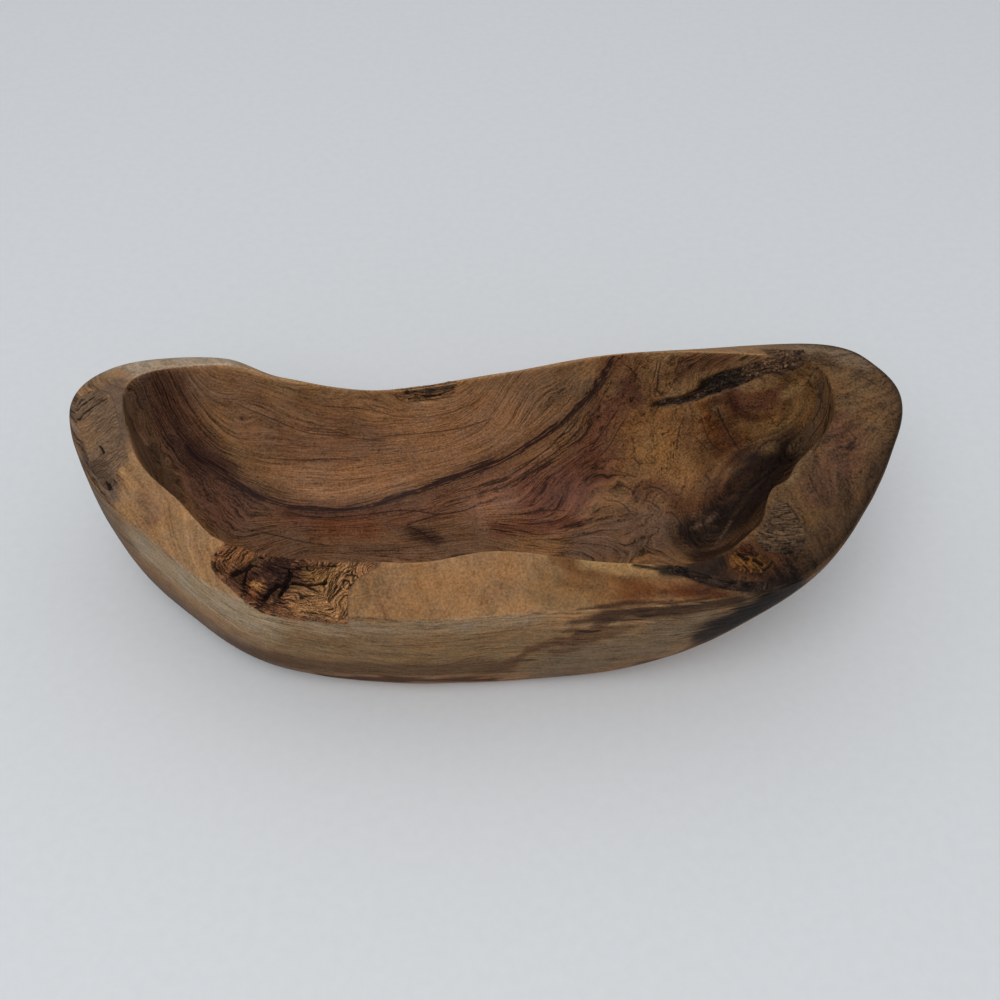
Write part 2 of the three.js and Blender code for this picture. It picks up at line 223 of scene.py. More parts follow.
# Brush strokes over the plain wood, for each face of the hull: what it is, half its width in mm,
# how soft its edge is, its colour, its strength and its line in pixels of the photograph
BRUSH = {
    "hollow": [
        ("warm back wall", 22, 0.6, "#a87a57", 0.75, [(330, 455), (420, 448), (500, 425)]),
        ("brown cloud", 7, 0.6, "#6b4d3c", 0.5, [(285, 440), (330, 446), (370, 436)]),
        ("brown cloud above", 7, 0.6, "#6b4b36", 0.5, [(300, 408), (345, 418)]),
        ("tan upper left wall", 12, 0.6, "#86604a", 0.5, [(200, 385), (232, 396), (250, 415)]),
        ("grey tan under the back rim", 12, 0.6, "#85674f", 0.5, [(540, 385), (562, 398)]),
        ("dark heartwood of the left end", 11, 0.5, "#654436", 0.85,
         [(160, 385), (172, 420), (192, 455), (210, 488), (236, 512)]),
        ("grey lip of the left end", 8, 0.5, "#5a4435", 0.85,
         [(124, 386), (130, 420), (144, 455), (166, 482)]),
        ("dark streak from the left rim", 5, 0.8, "#402a22", 0.5,
         [(155, 374), (168, 402), (180, 430), (196, 455), (222, 470)]),
        ("brown floor", 12, 0.6, "#6f503d", 0.6, [(260, 535), (330, 548), (420, 545), (480, 540)]),
        ("red wood under the vein", 6, 0.6, "#734836", 0.65,
         [(290, 517), (360, 520), (420, 510), (470, 494), (520, 480)]),
        ("orange patch", 6, 0.6, "#86502f", 0.6, [(328, 530), (365, 528)]),
        ("dark eye", 3.2, 0.8, "#40291f", 0.85, [(414, 532), (424, 534), (434, 540)]),
        ("rosy floor", 11, 0.6, "#966a50", 0.7, [(490, 502), (545, 497), (562, 512)]),
        ("red band of the floor", 3.5, 0.5, "#703f2a", 0.7, [(500, 528), (535, 527), (578, 525)]),
        ("red heartwood", 11, 0.5, "#6b4032", 0.8, [(540, 500), (576, 478), (600, 450), (616, 415)]),
        ("grey floor on the right", 10, 0.5, "#6d5343", 0.7, [(590, 545), (625, 535), (655, 530)]),
        ("brown wood left of the burl", 8, 0.5, "#7a5035", 0.7, [(622, 362), (640, 385), (640, 405)]),
        ("golden burl", 15, 0.6, "#966a40", 0.92, [(655, 440), (682, 452), (702, 474)]),
        ("light of the burl", 5, 0.8, "#ae804f", 0.55, [(655, 445), (672, 462), (690, 470)]),
        ("golden end wall", 11, 0.5, "#7c5530", 0.85, [(752, 428), (780, 415), (800, 398)]),
        ("gold under the right lip", 4, 0.5, "#7d5f39", 0.6, [(790, 382), (772, 400), (756, 420)]),
        ("red wood over the pocket", 6, 0.5, "#64402b", 0.75, [(676, 370), (700, 362), (722, 358)]),
        ("red wood under the pocket", 5, 0.8, "#5a3427", 0.75, [(730, 398), (755, 406), (770, 400)]),
        ("orange flame", 2.6, 0.6, "#7c4a23", 0.8, [(703, 402), (709, 416), (716, 432)]),
        ("foot of the orange flame", 3.4, 0.6, "#744623", 0.7, [(710, 424), (717, 438), (724, 448)]),
        ("red eye of the burl", 3, 0.6, "#5c3524", 0.6, [(640, 490), (662, 488), (676, 500)]),
        ("red wood left of the dark", 5, 0.6, "#5a3326", 0.7, [(690, 512), (712, 502), (730, 488)]),
        ("red shade right of the flame", 4, 0.8, "#4c2c1c", 0.7, [(722, 420), (734, 440), (744, 458)]),
        ("red arc of the end wall", 2, 0.8, "#55301e", 0.45,
         [(730, 390), (745, 398), (765, 398), (785, 388)]),
        ("second red arc", 1.6, 0.8, "#4f2c1c", 0.7, [(728, 408), (748, 418), (770, 416)]),
        ("gold of the end wall", 3.5, 0.8, "#86633a", 0.8, [(770, 427), (788, 420), (800, 406)]),
        ("dark streak of the end wall", 2, 0.8, "#3d2a1c", 0.35, [(800, 372), (806, 392), (800, 414)]),
        ("second dark streak", 1.5, 0.8, "#3d2a1c", 0.6, [(786, 376), (790, 396), (782, 416)]),
        # dark wood with painted shade under the knot, in this and the next two strokes
        ("dark wing beside the knot", 7, 0.9, "#2a1b14", 0.9,
         [(784, 450), (766, 462), (748, 484), (726, 504)]),
        ("dark lip under the knot", 4, 0.8, "#33231a", 0.9,
         [(702, 556), (724, 550), (744, 538), (760, 520), (772, 500)]),
        ("dark wood under the knot", 8, 0.8, "#1f140f", 0.94,
         [(794, 450), (778, 472), (760, 500), (740, 518), (716, 530), (692, 536)]),
        ("brown heart of the burl", 3, 0.8, "#6b4630", 0.6, [(684, 414), (690, 430), (686, 442)]),
        ("brown side of the burl", 5, 0.8, "#5c3d25", 0.7,
         [(706, 454), (708, 474), (698, 496), (682, 508)]),
        ("red foot of the flame", 2.5, 0.8, "#55301a", 0.6, [(714, 440), (722, 452), (732, 462)]),
        # painted shade over the dark wood, in this and the next stroke
        ("dark foot of the end wall", 4, 0.8, "#23150d", 0.75, [(728, 486), (740, 472), (754, 462)]),
        ("dark end under the knot", 4, 0.8, "#22140d", 0.6, [(688, 530), (702, 520), (718, 510)]),
        ("brown shade of the pocket", 2.5, 0.8, "#3c2519", 0.6, [(712, 404), (722, 400), (734, 402)]),
        ("warm wood under the pocket", 3, 0.8, "#7a4f38", 0.55, [(748, 398), (762, 401), (778, 394)]),
        ("purple heart beside the vein", 4, 0.7, "#4c2f2a", 0.7, [(628, 384), (634, 396)]),
        ("gold flame of the back wall", 3, 0.6, "#7f5d3a", 0.6, [(640, 358), (646, 374), (652, 392)]),
        ("gold flame between the cracks", 1.6, 0.6, "#85623b", 0.6,
         [(672, 354), (668, 372), (662, 392)]),
        ("pale fibres beside the knot", 0.4, 0.6, "#6b5746", 0.6, [(716, 544), (726, 530), (731, 521)]),
        ("brown fibres of the dark", 1.0, 0.5, "#6a4f3c", 0.6, [(694, 528), (706, 521), (716, 514)]),
        ("gold spot of the end wall", 2.0, 0.9, "#7a5c36", 0.45, [(765, 449), (772, 447)]),
        ("gold flame of the right lip", 1.7, 0.7, "#94724a", 0.85,
         [(783, 396), (800, 385), (816, 375)]),
        ("grey lip of the right end", 4, 0.6, "#5e4937", 0.75,
         [(816, 378), (822, 400), (814, 424), (800, 444)]),
        ("grey wood of the left lip", 5, 0.8, "#5c4636", 0.9, [(138, 398), (144, 428), (156, 452)]),
        ("pale patch of the left wall", 4, 0.8, "#8a6a50", 0.5, [(204, 388), (214, 400)]),
        ("black crumbs of the pocket", 3, 0.3, "#16110d", 0.95, [(704, 386), (716, 380), (732, 376)]),
        ("black tail of the pocket", 1.5, 0.35, "#241a14", 0.9,
         [(656, 404), (674, 400), (692, 392), (708, 388)]),
        ("black branch of the pocket", 1.3, 0.35, "#1d1611", 0.9, [(714, 390), (734, 382), (752, 375)]),
        ("crumbs towards the rim", 4, 0.6, "#4a3828", 0.75, [(750, 366), (768, 364), (780, 366)]),
        ("black end of the pocket", 2.6, 0.35, "#1b1510", 0.9, [(782, 366), (794, 358), (800, 352)]),
    ],
    "rim": [
        ("grey rim at the back left", 8, 0.9, "#a5927d", 0.95,
         [(112, 368), (150, 361), (190, 358), (218, 359)]),
        ("weathered left end", 11, 0.3, "#6b5544", 0.95,
         [(80, 402), (84, 420), (92, 440), (100, 452), (112, 440), (108, 410), (100, 390)]),
        ("weathered foot of the left end", 5, 0.3, "#5b493d", 0.95,
         [(96, 462), (104, 476), (111, 490)]),
        ("yellow left tip", 4.5, 0.7, "#9a7650", 0.65, [(80, 396), (96, 382), (112, 374)]),
        ("tan left rim", 9, 0.5, "#98734f", 0.7, [(142, 490), (172, 515), (205, 542)]),
        ("stain on the left rim", 3, 0.6, "#7c5a41", 0.7, [(142, 500), (152, 514), (150, 522)]),
        ("second stain", 2.6, 0.6, "#84613f", 0.5, [(172, 518), (184, 527)]),
        ("honey front rim", 9, 0.6, "#946b45", 0.65, [(390, 588), (440, 582), (500, 575)]),
        ("dull front rim", 8, 0.6, "#7d5d3a", 0.75, [(545, 585), (590, 590), (620, 596)]),
        ("stain from the edge", 2.2, 0.6, "#5f4025", 0.8, [(556, 557), (572, 564), (590, 573)]),
        ("brown tail of the orange", 4.5, 0.9, "#7b532f", 0.7, [(575, 580), (610, 586), (645, 590)]),
        ("brown stain under the gold", 2.0, 0.7, "#6e4826", 0.8,
         [(562, 561), (590, 571), (620, 580), (650, 586)]),
        ("gold patch", 2.6, 0.6, "#98774c", 0.95, [(588, 562), (612, 566), (634, 570), (652, 577)]),
        ("orange wood", 4.2, 0.8, "#673a1b", 0.85, [(636, 588), (680, 592), (728, 597)]),
        ("dark end of the orange", 2.2, 0.8, "#4a240f", 0.85, [(664, 591), (700, 594), (730, 597)]),
        # painted highlight along the rim's outer edge
        ("pale lip under the orange", 1.2, 0.8, "#8a5f38", 0.4, [(640, 602), (680, 601), (716, 599)]),
        ("dark line under the orange", 0.8, 0.5, "#33201a", 0.85,
         [(580, 610), (626, 604), (680, 602), (744, 597)]),
        ("brown right end", 22, 0.4, "#5e442b", 0.92,
         [(795, 548), (836, 505), (868, 452), (884, 412), (872, 375), (842, 356)]),
        ("golden brown of the right end", 6, 0.6, "#6b4f32", 0.7, [(846, 382), (866, 415), (862, 445)]),
        ("red specks of the right end", 8, 0.8, "#57392b", 0.7, [(838, 430), (846, 450), (826, 490)]),
        ("grey tan of the right top", 5, 0.6, "#79644e", 0.8, [(800, 348), (834, 352), (862, 364)]),
        ("dark edge of the right end", 6, 0.8, "#3f2d1e", 0.85,
         [(898, 436), (874, 490), (842, 534), (816, 556)]),
        ("gold patch by the knot", 3, 0.7, "#6b5030", 0.7, [(806, 522), (818, 516)]),
        # painted highlight along the hollow's edge at the right end
        ("pale lip of the right end", 0.5, 0.6, "#7f6848", 0.5,
         [(812, 450), (804, 462), (794, 476), (786, 484)]),
        ("orange crumbs", 9, 0.4, "#4a2d19", 1.0, [(712, 562), (732, 562), (752, 566), (776, 572)]),
        ("dark edge over the seam", 2.5, 0.7, "#2a1d14", 0.95, [(690, 568), (704, 567), (716, 563)]),
        ("dark wood round the knots", 3, 0.7, "#2b1d15", 0.85,
         [(716, 576), (744, 588), (774, 586), (790, 574), (797, 564)]),
        ("dark low right end", 8, 0.9, "#45311f", 0.8, [(814, 548), (832, 522), (846, 500)]),
        ("thin end of the seam", 0.6, 0.6, "#1d1410", 0.95, [(634, 565), (646, 567), (658, 569)]),
        ("black seam", 2.0, 0.5, "#17100d", 0.95,
         [(664, 570), (676, 572), (696, 576), (722, 583), (748, 588), (772, 587)]),
    ],
    "wall": [
        ("brown middle of the wall", 15, 0.5, "#7a5f40", 0.9, [(300, 640), (420, 650), (540, 648)]),
        ("grey sapwood on the left", 10, 0.6, "#99876d", 0.8, [(150, 552), (200, 592), (255, 622)]),
        ("grey edge of the wall", 4, 0.6, "#8b755c", 0.8,
         [(300, 624), (380, 628), (470, 624), (530, 618)]),
        ("brown lower band", 6.5, 0.6, "#553c25", 0.9,
         [(230, 645), (300, 664), (400, 670), (500, 668)]),
        ("red line at the foot", 3.2, 0.5, "#40230f", 0.95,
         [(270, 669), (340, 677), (400, 680), (490, 680)]),
        ("dull right wall", 12, 0.5, "#6b5842", 0.9, [(560, 668), (620, 652), (670, 636), (696, 626)]),
        ("heartwood streak", 2.4, 0.3, "#5c3e28", 0.9,
         [(508, 664), (522, 655), (542, 646), (566, 640), (590, 630), (610, 620)]),
        ("heartwood under the rim", 3.0, 0.5, "#3c2515", 0.94,
         [(572, 624), (610, 616), (650, 612), (690, 609), (738, 601)]),
        ("heartwood shadow", 3.6, 0.6, "#553a24", 0.8, [(560, 650), (590, 640), (624, 628)]),
        ("dark right wall", 7, 0.4, "#1f140c", 0.95, [(711, 632), (728, 622), (750, 610), (786, 594)]),
        ("dark right foot", 5, 0.6, "#241710", 0.9, [(706, 640), (735, 624), (765, 607), (790, 589)]),
        ("dark foot on the right", 2.2, 0.5, "#46321f", 0.8, [(640, 663), (670, 656), (694, 646)]),
    ],
}
# Fine dark lines drawn in the wood, for each face: how dark, and the line in pixels of the photograph
INK = {
    "hollow": [
        # right of the vein and round the pocket
        (1.0, [(616, 360), (624, 364), (631, 369), (639, 380), (644, 386)]),
        (1.0, [(664, 351), (659, 370), (657, 387), (654, 400)]),
        (0.8, [(681, 354), (676, 370), (674, 385), (672, 396)]),
        (0.7, [(687, 355), (684, 368), (682, 382)]),
        (0.6, [(695, 357), (692, 370), (689, 380)]),
        (0.9, [(713, 400), (723, 422), (734, 442), (745, 457)]),
        (0.7, [(699, 408), (705, 430), (714, 446), (728, 454)]),
        (0.7, [(720, 387), (730, 400), (745, 412), (760, 415)]),
        (0.7, [(730, 395), (742, 405), (757, 407), (772, 402)]),
        (0.6, [(747, 394), (760, 399), (777, 396)]),
        (0.6, [(795, 390), (807, 383), (813, 375)]),
        (0.9, [(655, 398), (664, 394), (676, 392)]),
        (0.8, [(690, 399), (702, 395), (716, 393), (728, 389)]),
        (0.8, [(738, 366), (748, 357), (762, 351)]),
        (0.7, [(744, 381), (756, 379), (770, 375)]),
        (0.7, [(760, 373), (776, 369), (792, 363)]),
        # burl
        (0.8, [(687, 412), (680, 427), (677, 445), (675, 457)]),
        (0.8, [(692, 435), (705, 447), (712, 457)]),
        (0.9, [(628, 452), (633, 458), (640, 465), (635, 475)]),
        (0.6, [(645, 440), (652, 450), (650, 462)]),
        (0.7, [(610, 487), (620, 485), (632, 490), (642, 495)]),
        (0.9, [(640, 492), (650, 487), (662, 490), (672, 500)]),
        (0.7, [(635, 502), (645, 500), (655, 505), (665, 515)]),
        (0.7, [(655, 515), (670, 512), (680, 522), (685, 532)]),
        (0.7, [(597, 492), (607, 500), (620, 502), (630, 512), (640, 520)]),
        (0.6, [(700, 470), (708, 478), (712, 490)]),
        # along the red heartwood and the vein
        (0.8, [(620, 405), (610, 422), (597, 440), (587, 455)]),
        (0.7, [(630, 412), (620, 427), (610, 445), (597, 460), (592, 472)]),
        (0.9, [(588, 405), (570, 425), (552, 445), (532, 460), (510, 471)]),
        (0.8, [(602, 402), (587, 422), (570, 440), (553, 454), (532, 468), (512, 481)]),
        (0.8, [(560, 454), (542, 466), (522, 477), (505, 486), (487, 495)]),
        (0.6, [(480, 525), (500, 526), (520, 530), (540, 535), (562, 532)]),
        (0.7, [(535, 512), (555, 510), (575, 512)]),
        (0.7, [(540, 540), (575, 537), (610, 528)]),
        # dark wood under the knot
        (0.9, [(755, 450), (750, 465), (745, 480)]),
        (1.0, [(787, 442), (773, 440), (762, 445), (755, 457), (751, 474)]),
        (0.8, [(780, 457), (767, 465), (757, 477)]),
        (0.8, [(784, 468), (770, 479), (760, 492)]),
        (1.0, [(822, 371), (827, 382), (829, 393), (828, 406), (823, 420), (814, 433), (807, 444)]),
        (0.8, [(817, 384), (821, 398), (818, 412), (808, 428)]),
        # back wall and floor
        (0.7, [(232, 402), (275, 420), (305, 432), (340, 436), (362, 439), (390, 442)]),
        (0.7, [(375, 437), (412, 434), (450, 430), (475, 424), (497, 416)]),
        (0.6, [(300, 427), (330, 430), (360, 439)]),
        (0.5, [(360, 402), (380, 412), (407, 417), (440, 415), (470, 405), (487, 395)]),
        (0.6, [(260, 457), (295, 460), (330, 459), (365, 460)]),
        (0.5, [(300, 476), (340, 480), (380, 476)]),
        (0.9, [(282, 510), (310, 517), (340, 517), (370, 514), (405, 510), (440, 514),
             (465, 510), (487, 501)]),
        (0.8, [(395, 530), (415, 522), (430, 517), (450, 512)]),
        (0.9, [(400, 525), (417, 530), (432, 540), (440, 545)]),
        (0.8, [(250, 530), (275, 535), (305, 542), (340, 547)]),
        (0.8, [(232, 485), (250, 500), (275, 508)]),
        (0.7, [(142, 380), (150, 403), (163, 430), (182, 455)]),
        (0.6, [(150, 398), (159, 412), (171, 420)]),
        (0.6, [(164, 384), (172, 399), (185, 405)]),
        (0.6, [(160, 441), (173, 436), (187, 445)]),
        (0.6, [(176, 452), (190, 450), (205, 463)]),
        (0.5, [(150, 424), (160, 433), (168, 447)]),
        (0.6, [(186, 471), (199, 468), (213, 481)]),
        (0.7, [(175, 382), (194, 413), (213, 436), (232, 449)]),
    ],
    "rim": [
        (0.7, [(830, 360), (840, 355), (855, 354), (870, 362), (878, 368)]),
        (0.8, [(850, 373), (863, 377), (873, 383), (885, 390)]),
        (0.7, [(836, 428), (845, 428), (853, 435), (855, 443), (847, 452)]),
        (0.7, [(832, 443), (838, 445), (843, 450)]),
        (0.8, [(834, 412), (829, 424), (822, 438), (815, 450), (808, 460)]),
        (0.5, [(838, 465), (848, 462), (857, 458)]),
        (0.5, [(842, 392), (856, 396), (872, 400)]),
        (0.4, [(850, 404), (866, 410), (884, 414)]),
        (0.5, [(862, 424), (880, 430), (894, 434)]),
        (0.4, [(858, 446), (876, 450)]),
        (0.5, [(836, 476), (852, 478), (870, 476)]),
        (0.4, [(826, 492), (842, 496), (858, 494)]),
        (0.5, [(807, 468), (813, 485), (823, 502), (830, 512)]),
        (0.4, [(814, 466), (822, 484), (833, 504)]),
        (1.0, [(774, 499), (784, 503), (792, 509), (798, 519), (803, 530), (804, 541)]),
    ],
    "wall": [
        (0.8, [(633, 664), (663, 662)]),
        (0.9, [(280, 671), (340, 678), (400, 681), (462, 679)]),
        (0.5, [(280, 636), (360, 645), (440, 645)]),
        (0.5, [(420, 636), (480, 634), (530, 628)]),
    ],
}
# In mm: how far a drawn line is followed, the share of that where it is full, and how it tapers
INK_REACH, INK_SOLID, INK_TAPER = 2.2, 0.6, 6

# Masks painted on each face: half width in mm, softness, strength and line in pixels. Burl winds,
# torn wood is fibrous, and smoky wood breaks into dark streaks along its grain.
BURL = {
    "hollow": [(24, 0.5, 1.0, [(640, 400), (690, 440), (740, 440), (790, 410), (760, 470), (700, 490)]),
               (13, 0.7, 0.45, [(135, 390), (155, 430), (190, 470), (225, 505)])],
}
TORN = {
    "hollow": [(15, 0.5, 0.7, [(150, 385), (168, 425), (195, 465), (232, 505)]),
               (8, 0.5, 1.0, [(700, 530), (735, 510), (765, 485), (792, 455)])],
    "rim": [(9, 0.4, 1.0, [(82, 400), (88, 430), (98, 456), (106, 484)]),
            (6, 0.7, 0.6, [(735, 585), (770, 586), (788, 576)])],
    "wall": [(8, 0.3, 1.0, [(711, 632), (728, 622), (750, 610), (786, 594)])],
}
SMOKY = {
    "hollow": [
        (5, 0.7, 0.4, [(470, 492), (520, 474), (560, 448), (595, 412), (612, 380)]),
        (13, 0.7, 0.31, [(612, 400), (604, 440), (582, 480), (560, 515)]),
        (6, 0.7, 0.34, [(290, 520), (350, 522), (410, 512), (460, 498)]),
        (4, 0.8, 0.34, [(410, 531), (424, 534), (440, 541)]),
        (6, 0.7, 0.36, [(500, 528), (560, 527), (600, 520)]),
        (13, 0.8, 0.27, [(158, 390), (176, 432), (200, 470), (236, 508)]),
        (4, 0.8, 0.38, [(160, 385), (172, 415), (186, 445), (205, 470)]),
        (22, 0.7, 0.3, [(640, 420), (690, 450), (720, 470)]),
        (8, 0.6, 0.32, [(622, 362), (645, 380), (655, 395)]),
        (6, 0.6, 0.42, [(676, 358), (700, 362), (722, 358)]),
        (11, 0.9, 0.3, [(694, 534), (722, 516), (750, 490), (785, 458)]),
        (3, 0.9, 0.42, [(698, 525), (714, 516), (730, 508)]),
        (11, 0.7, 0.26, [(745, 442), (775, 434), (800, 422)]),
        (9, 0.9, 0.22, [(735, 400), (765, 408), (790, 395)]),
        (5, 0.8, 0.42, [(745, 360), (770, 352), (800, 352)]),
        (2.5, 0.6, 0.5, [(822, 368), (832, 385), (832, 405), (824, 430)]),
    ],
    "rim": [
        (5, 0.6, 0.36, [(832, 440), (845, 446)]),
        (17, 0.8, 0.12, [(800, 545), (850, 470), (870, 400)]),
        (10, 0.5, 0.36, [(84, 400), (92, 430), (105, 470)]),
        (3, 0.8, 0.22, [(600, 577), (640, 586), (690, 596)]),
        (5, 0.6, 0.45, [(730, 560), (750, 566), (772, 572)]),
    ],
    "wall": [
        (7.5, 0.5, 0.5, [(711, 632), (728, 622), (750, 610), (786, 594)]),
        (4, 0.7, 0.36, [(520, 660), (560, 645), (600, 628), (650, 614), (700, 608)]),
    ],
}

# Facets of the carved body
AROUND = 512
FOOT_RINGS = 4
WALL_ROWS = 34
EDGE_ROWS = 5
FACE_ROWS = 22
HOLLOW_ROWS = 84
FLOOR_RINGS = 30
# The share of the wall and of the hollow that is left to the eased edges, and the hollow's fullness
EDGE_MARGIN = 0.03
HOLLOW_FULLNESS = 2.0

# The waver of hand carving: its long and its short waves, the share of the short ones and of the rim,
# and the heights above the foot where it sets in and is full
WAVES, RIPPLES = 28 * MM, 9 * MM
RIPPLE_SHARE, RIM_SHARE = 0.3, 0.5
WAVER_FROM, WAVER_FULL = 0.5 * MM, 6 * MM
SEED_STEPS = (17.3, 5.1, 9.7)

# The log, in mm: where its pith ran under the bowl, where its heartwood ended and its sapwood began,
# and how far its rings wander, over which length in metres
PITH_Y, PITH_Z = 4.0, -28.0
HEART_EDGE, SAP_EDGE = 60.0, 84.0
RING_WANDER, RING_WAVES = 4.0, 40 * MM
# The knotty right end, in mm from the middle, and how it leans to the front and outwards
KNOTTY_FROM, KNOTTY_TO = 110.0, 150.0
KNOTTY_LEAN, KNOTTY_OUTWARDS = 0.3, 0.2
# The grain: its level at the pith, its rise towards the right, its lean to the back, and how far and
# how stiffly each grain line bends it, in mm; it is worked out in chunks
GRAIN_LEVEL_OF_PITH = 62.0
GRAIN_RISE, GRAIN_LEAN = 0.03, 0.35
GRAIN_REACH, GRAIN_STIFFNESS = 27.0, 0.03
GRAIN_CHUNKS = 40
# How far the grain frays the edge of a brush, as a share of its half width, and at most in mm
FRAY, FRAY_MOST = 0.9, 3.5

# Streaks in the colour: length and width in mm, layers of detail, and the broad ones as multiples
STREAK_LENGTH, STREAK_WIDTH, STREAK_LAYERS = 16.0, 1.8, 2
BROAD_LENGTH, BROAD_WIDTH, BROAD_LAYERS, BROAD_SEED = 9.0, 4.0, 4, 7.0
DIMENSION, LACUNARITY = 1.0, 2.0
# Dark heart streaks of the outer wall: where they begin and are full towards the back, in mm, and
# the broad pattern's values between which they show, with fine streaks added
HEART_BACK, HEART_BREADTH, HEART_FRAY = (-15, 20), (0.08, 0.36), 0.4
# Weathered wood of the outer wall, in mm: where it begins and is full towards the left end, and down
# towards the foot (heights are negative) left of the middle, where it is weathered wood with painted shade;
# streaks fray both
WEATHERED_LEFT, LEFT_FRAY = (92, 124), 14
WEATHERED_AND_SHADED_LOW, LOW_FRAY, LOW_LEFT = (-40, -14), 8, (25, 70)
KNOTTY_TINT, HEART_TINT, WEATHERED_TINT = 0.85, 0.65, 0.85
# Bands along the edges of the rim, solid and faded out in mm, and how they lighten or darken; the one along
# the hollow is wear with a painted highlight
WEAR_AND_HIGHLIGHT_EDGE, WEAR_AND_HIGHLIGHT_GAIN = (0.2, 1.3), 0.3
GRIMY_EDGE, GRIMY_DARK = (0.5, 3.5), 0.5
# How the wood looks in the hollow, on the rim and elsewhere, and what knotty, torn and burl wood add
MATTE = (0.0, 1.0, 0.7)
FIBROUS, KNOTTY_FIBRES, TORN_FIBRES, BURL_FIBRES = (0.9, 0.45, 0.75), 0.35, 1.1, -0.45
CURLY, KNOTTY_CURLS, BURL_CURLS = (0.8, 0.65, 0.6), 0.5, 0.3
CREASED, BURL_CREASES = (1.0, 0.15, 0.4), -0.8
CREASED_ABOVE_VEIN, CREASED_FULL = 0.25, 10
HEART_SMOKE = 0.3
NO_LENGTH = 1e-12
NO_AREA = 1e-15


def unit(vectors):
    return vectors / np.linalg.norm(vectors, axis=-1, keepdims=True)


def ease(values, low, high):
    """Smooth step from 0 at low to 1 at high."""
    share = np.clip((values - low) / (high - low), 0, 1)
    return share * share * (3 - 2 * share)


def blend(start, end, share):
    return start + (end - start) * share


def path_place(points, path):
    """Distance from each point to a line of points, and how far along the line its nearest place is."""
    least = np.full(len(points), np.inf)
    along = np.zeros(len(points))
    walked = 0.0
    for start, end in zip(path, path[1:] if len(path) > 1 else path):
        run = end - start
        length = np.linalg.norm(run)
        share = np.clip((points - start) @ run / max(length**2, NO_LENGTH), 0, 1)
        apart = np.linalg.norm(points - start - share[:, None] * run, axis=1)
        closer = apart < least
        least[closer] = apart[closer]
        along[closer] = walked + share[closer] * length
        walked += length
    return least, along


def brush_mask(points, path, half_width, softness, streak=None):
    """Strength of a brush drawn along a line, from 1 in its middle to 0 outside; the grain's streaks
    fray its edge."""
    reach = (2 + softness) * half_width
    near = np.all((points > path.min(0) - reach) & (points < path.max(0) + reach), axis=1)
    distance = path_place(points[near], path)[0]
    if streak is not None:
        distance = distance + streak[near] * min(FRAY * half_width, FRAY_MOST)
    mask = np.zeros(len(points))
    mask[near] = 1 - ease(distance, half_width * (1 - softness), half_width * (1 + softness))
    return mask


def ink_distance(points, normals, lines):
    """Signed distance to the nearest drawn line, and how much of it shows, which fades at its ends."""
    signed = np.full(len(points), INK_REACH)
    shown = np.zeros(len(points))
    for weight, path in lines:
        near = np.nonzero(np.all((points > path.min(0) - INK_REACH)
                                 & (points < path.max(0) + INK_REACH), axis=1))[0]
        here = points[near]
        distance, along = path_place(here, path)
        steps = np.linalg.norm(np.diff(path, axis=0), axis=1)
        walked = np.append(0, np.cumsum(steps))
        nearest = np.column_stack([np.interp(along, walked, path[:, k]) for k in range(3)])
        k = np.clip(np.searchsorted(walked, along) - 1, 0, len(steps) - 1)
        side = np.cross(normals[near], np.diff(path, axis=0)[k])
        sign = np.where(np.sum((here - nearest) * side, axis=1) < 0, -1.0, 1.0)
        better = distance < np.abs(signed[near])
        ends = np.minimum(along, walked[-1] - along)
        signed[near[better]] = (sign * distance)[better]
        fade = ease(ends, 0, INK_TAPER) * (1 - ease(distance, INK_SOLID * INK_REACH, INK_REACH))
        shown[near[better]] = weight * fade[better]
    return signed, shown


def smooth_line(pixels):
    """Open smooth curve through a few pixels."""
    knots = np.array([pixels[0], *pixels, pixels[-1]], float)
    shares = np.linspace(0, 1, LINE_STEPS, endpoint=False)[:, None]
    spans = [curve(*four, shares) for four in zip(knots, knots[1:], knots[2:], knots[3:])]
    return np.concatenate([*spans, knots[-1:]])


class PhotoView:
    """The photograph's camera, which turns its pixels into points on the bowl"""

    def __init__(self, stage):
        angle = stage.camera_elevation
        self.forward = np.array([0, math.cos(angle), -math.sin(angle)])
        self.right = np.array([1.0, 0, 0])
        self.up = np.cross(self.right, self.forward)
        self.eye = np.array(stage.camera_target) - stage.camera_distance * self.forward
        self.focal = stage.lens / SENSOR * PICTURE

    def cast(self, tree, pixels):
        """Points in mm where the rays through a line of pixels meet a surface."""
        points = []
        for px, py in smooth_line(pixels):
            ray = (self.forward * self.focal + self.right * (px - PICTURE / 2)
                   - self.up * (py - PICTURE / 2))
            hit = tree.ray_cast(Vector(self.eye), Vector(ray))[0]
            if hit is not None:
                points.append(hit)
        if not points:
            raise RuntimeError(f"the line from pixel {pixels[0]} misses the bowl")
        return np.array(points) / MM


def hull_guides(sizes, t):
    """Foot, outer edge, inner edge and floor of the sections at t, and their wall fullness."""
    x, y, fullness, dip, band, fall = np.moveaxis(around_rim(RIM_STATIONS, t), -1, 0)
    shares = np.stack([x, y], -1)
    outline = shares * [sizes.length / 2, sizes.width / 2]
    reach = (sizes.length - sizes.width) / 2
    keel = np.stack([np.clip(outline[:, 0], -reach, reach), np.zeros_like(x)], -1)
    inner = outline + unit(keel - outline) * (band * sizes.rim_width)[:, None]
    heading = unit(shares)
    foot = heading * [sizes.foot_length / 2, sizes.foot_width / 2]
    floor = heading * [sizes.floor_length / 2, sizes.floor_width / 2]
    inner_height = sizes.height - dip * sizes.rim_dip
    outer_height = inner_height - fall * sizes.rim_fall
    middle = np.array([sizes.rim_offset, 0])

    def at(plan, height):
        return np.column_stack([plan, np.broadcast_to(height, len(plan))])
    return (at(foot, 0.0), at(outline + middle, outer_height), at(inner + middle, inner_height),
            at(floor + middle, sizes.floor_thickness), fullness)


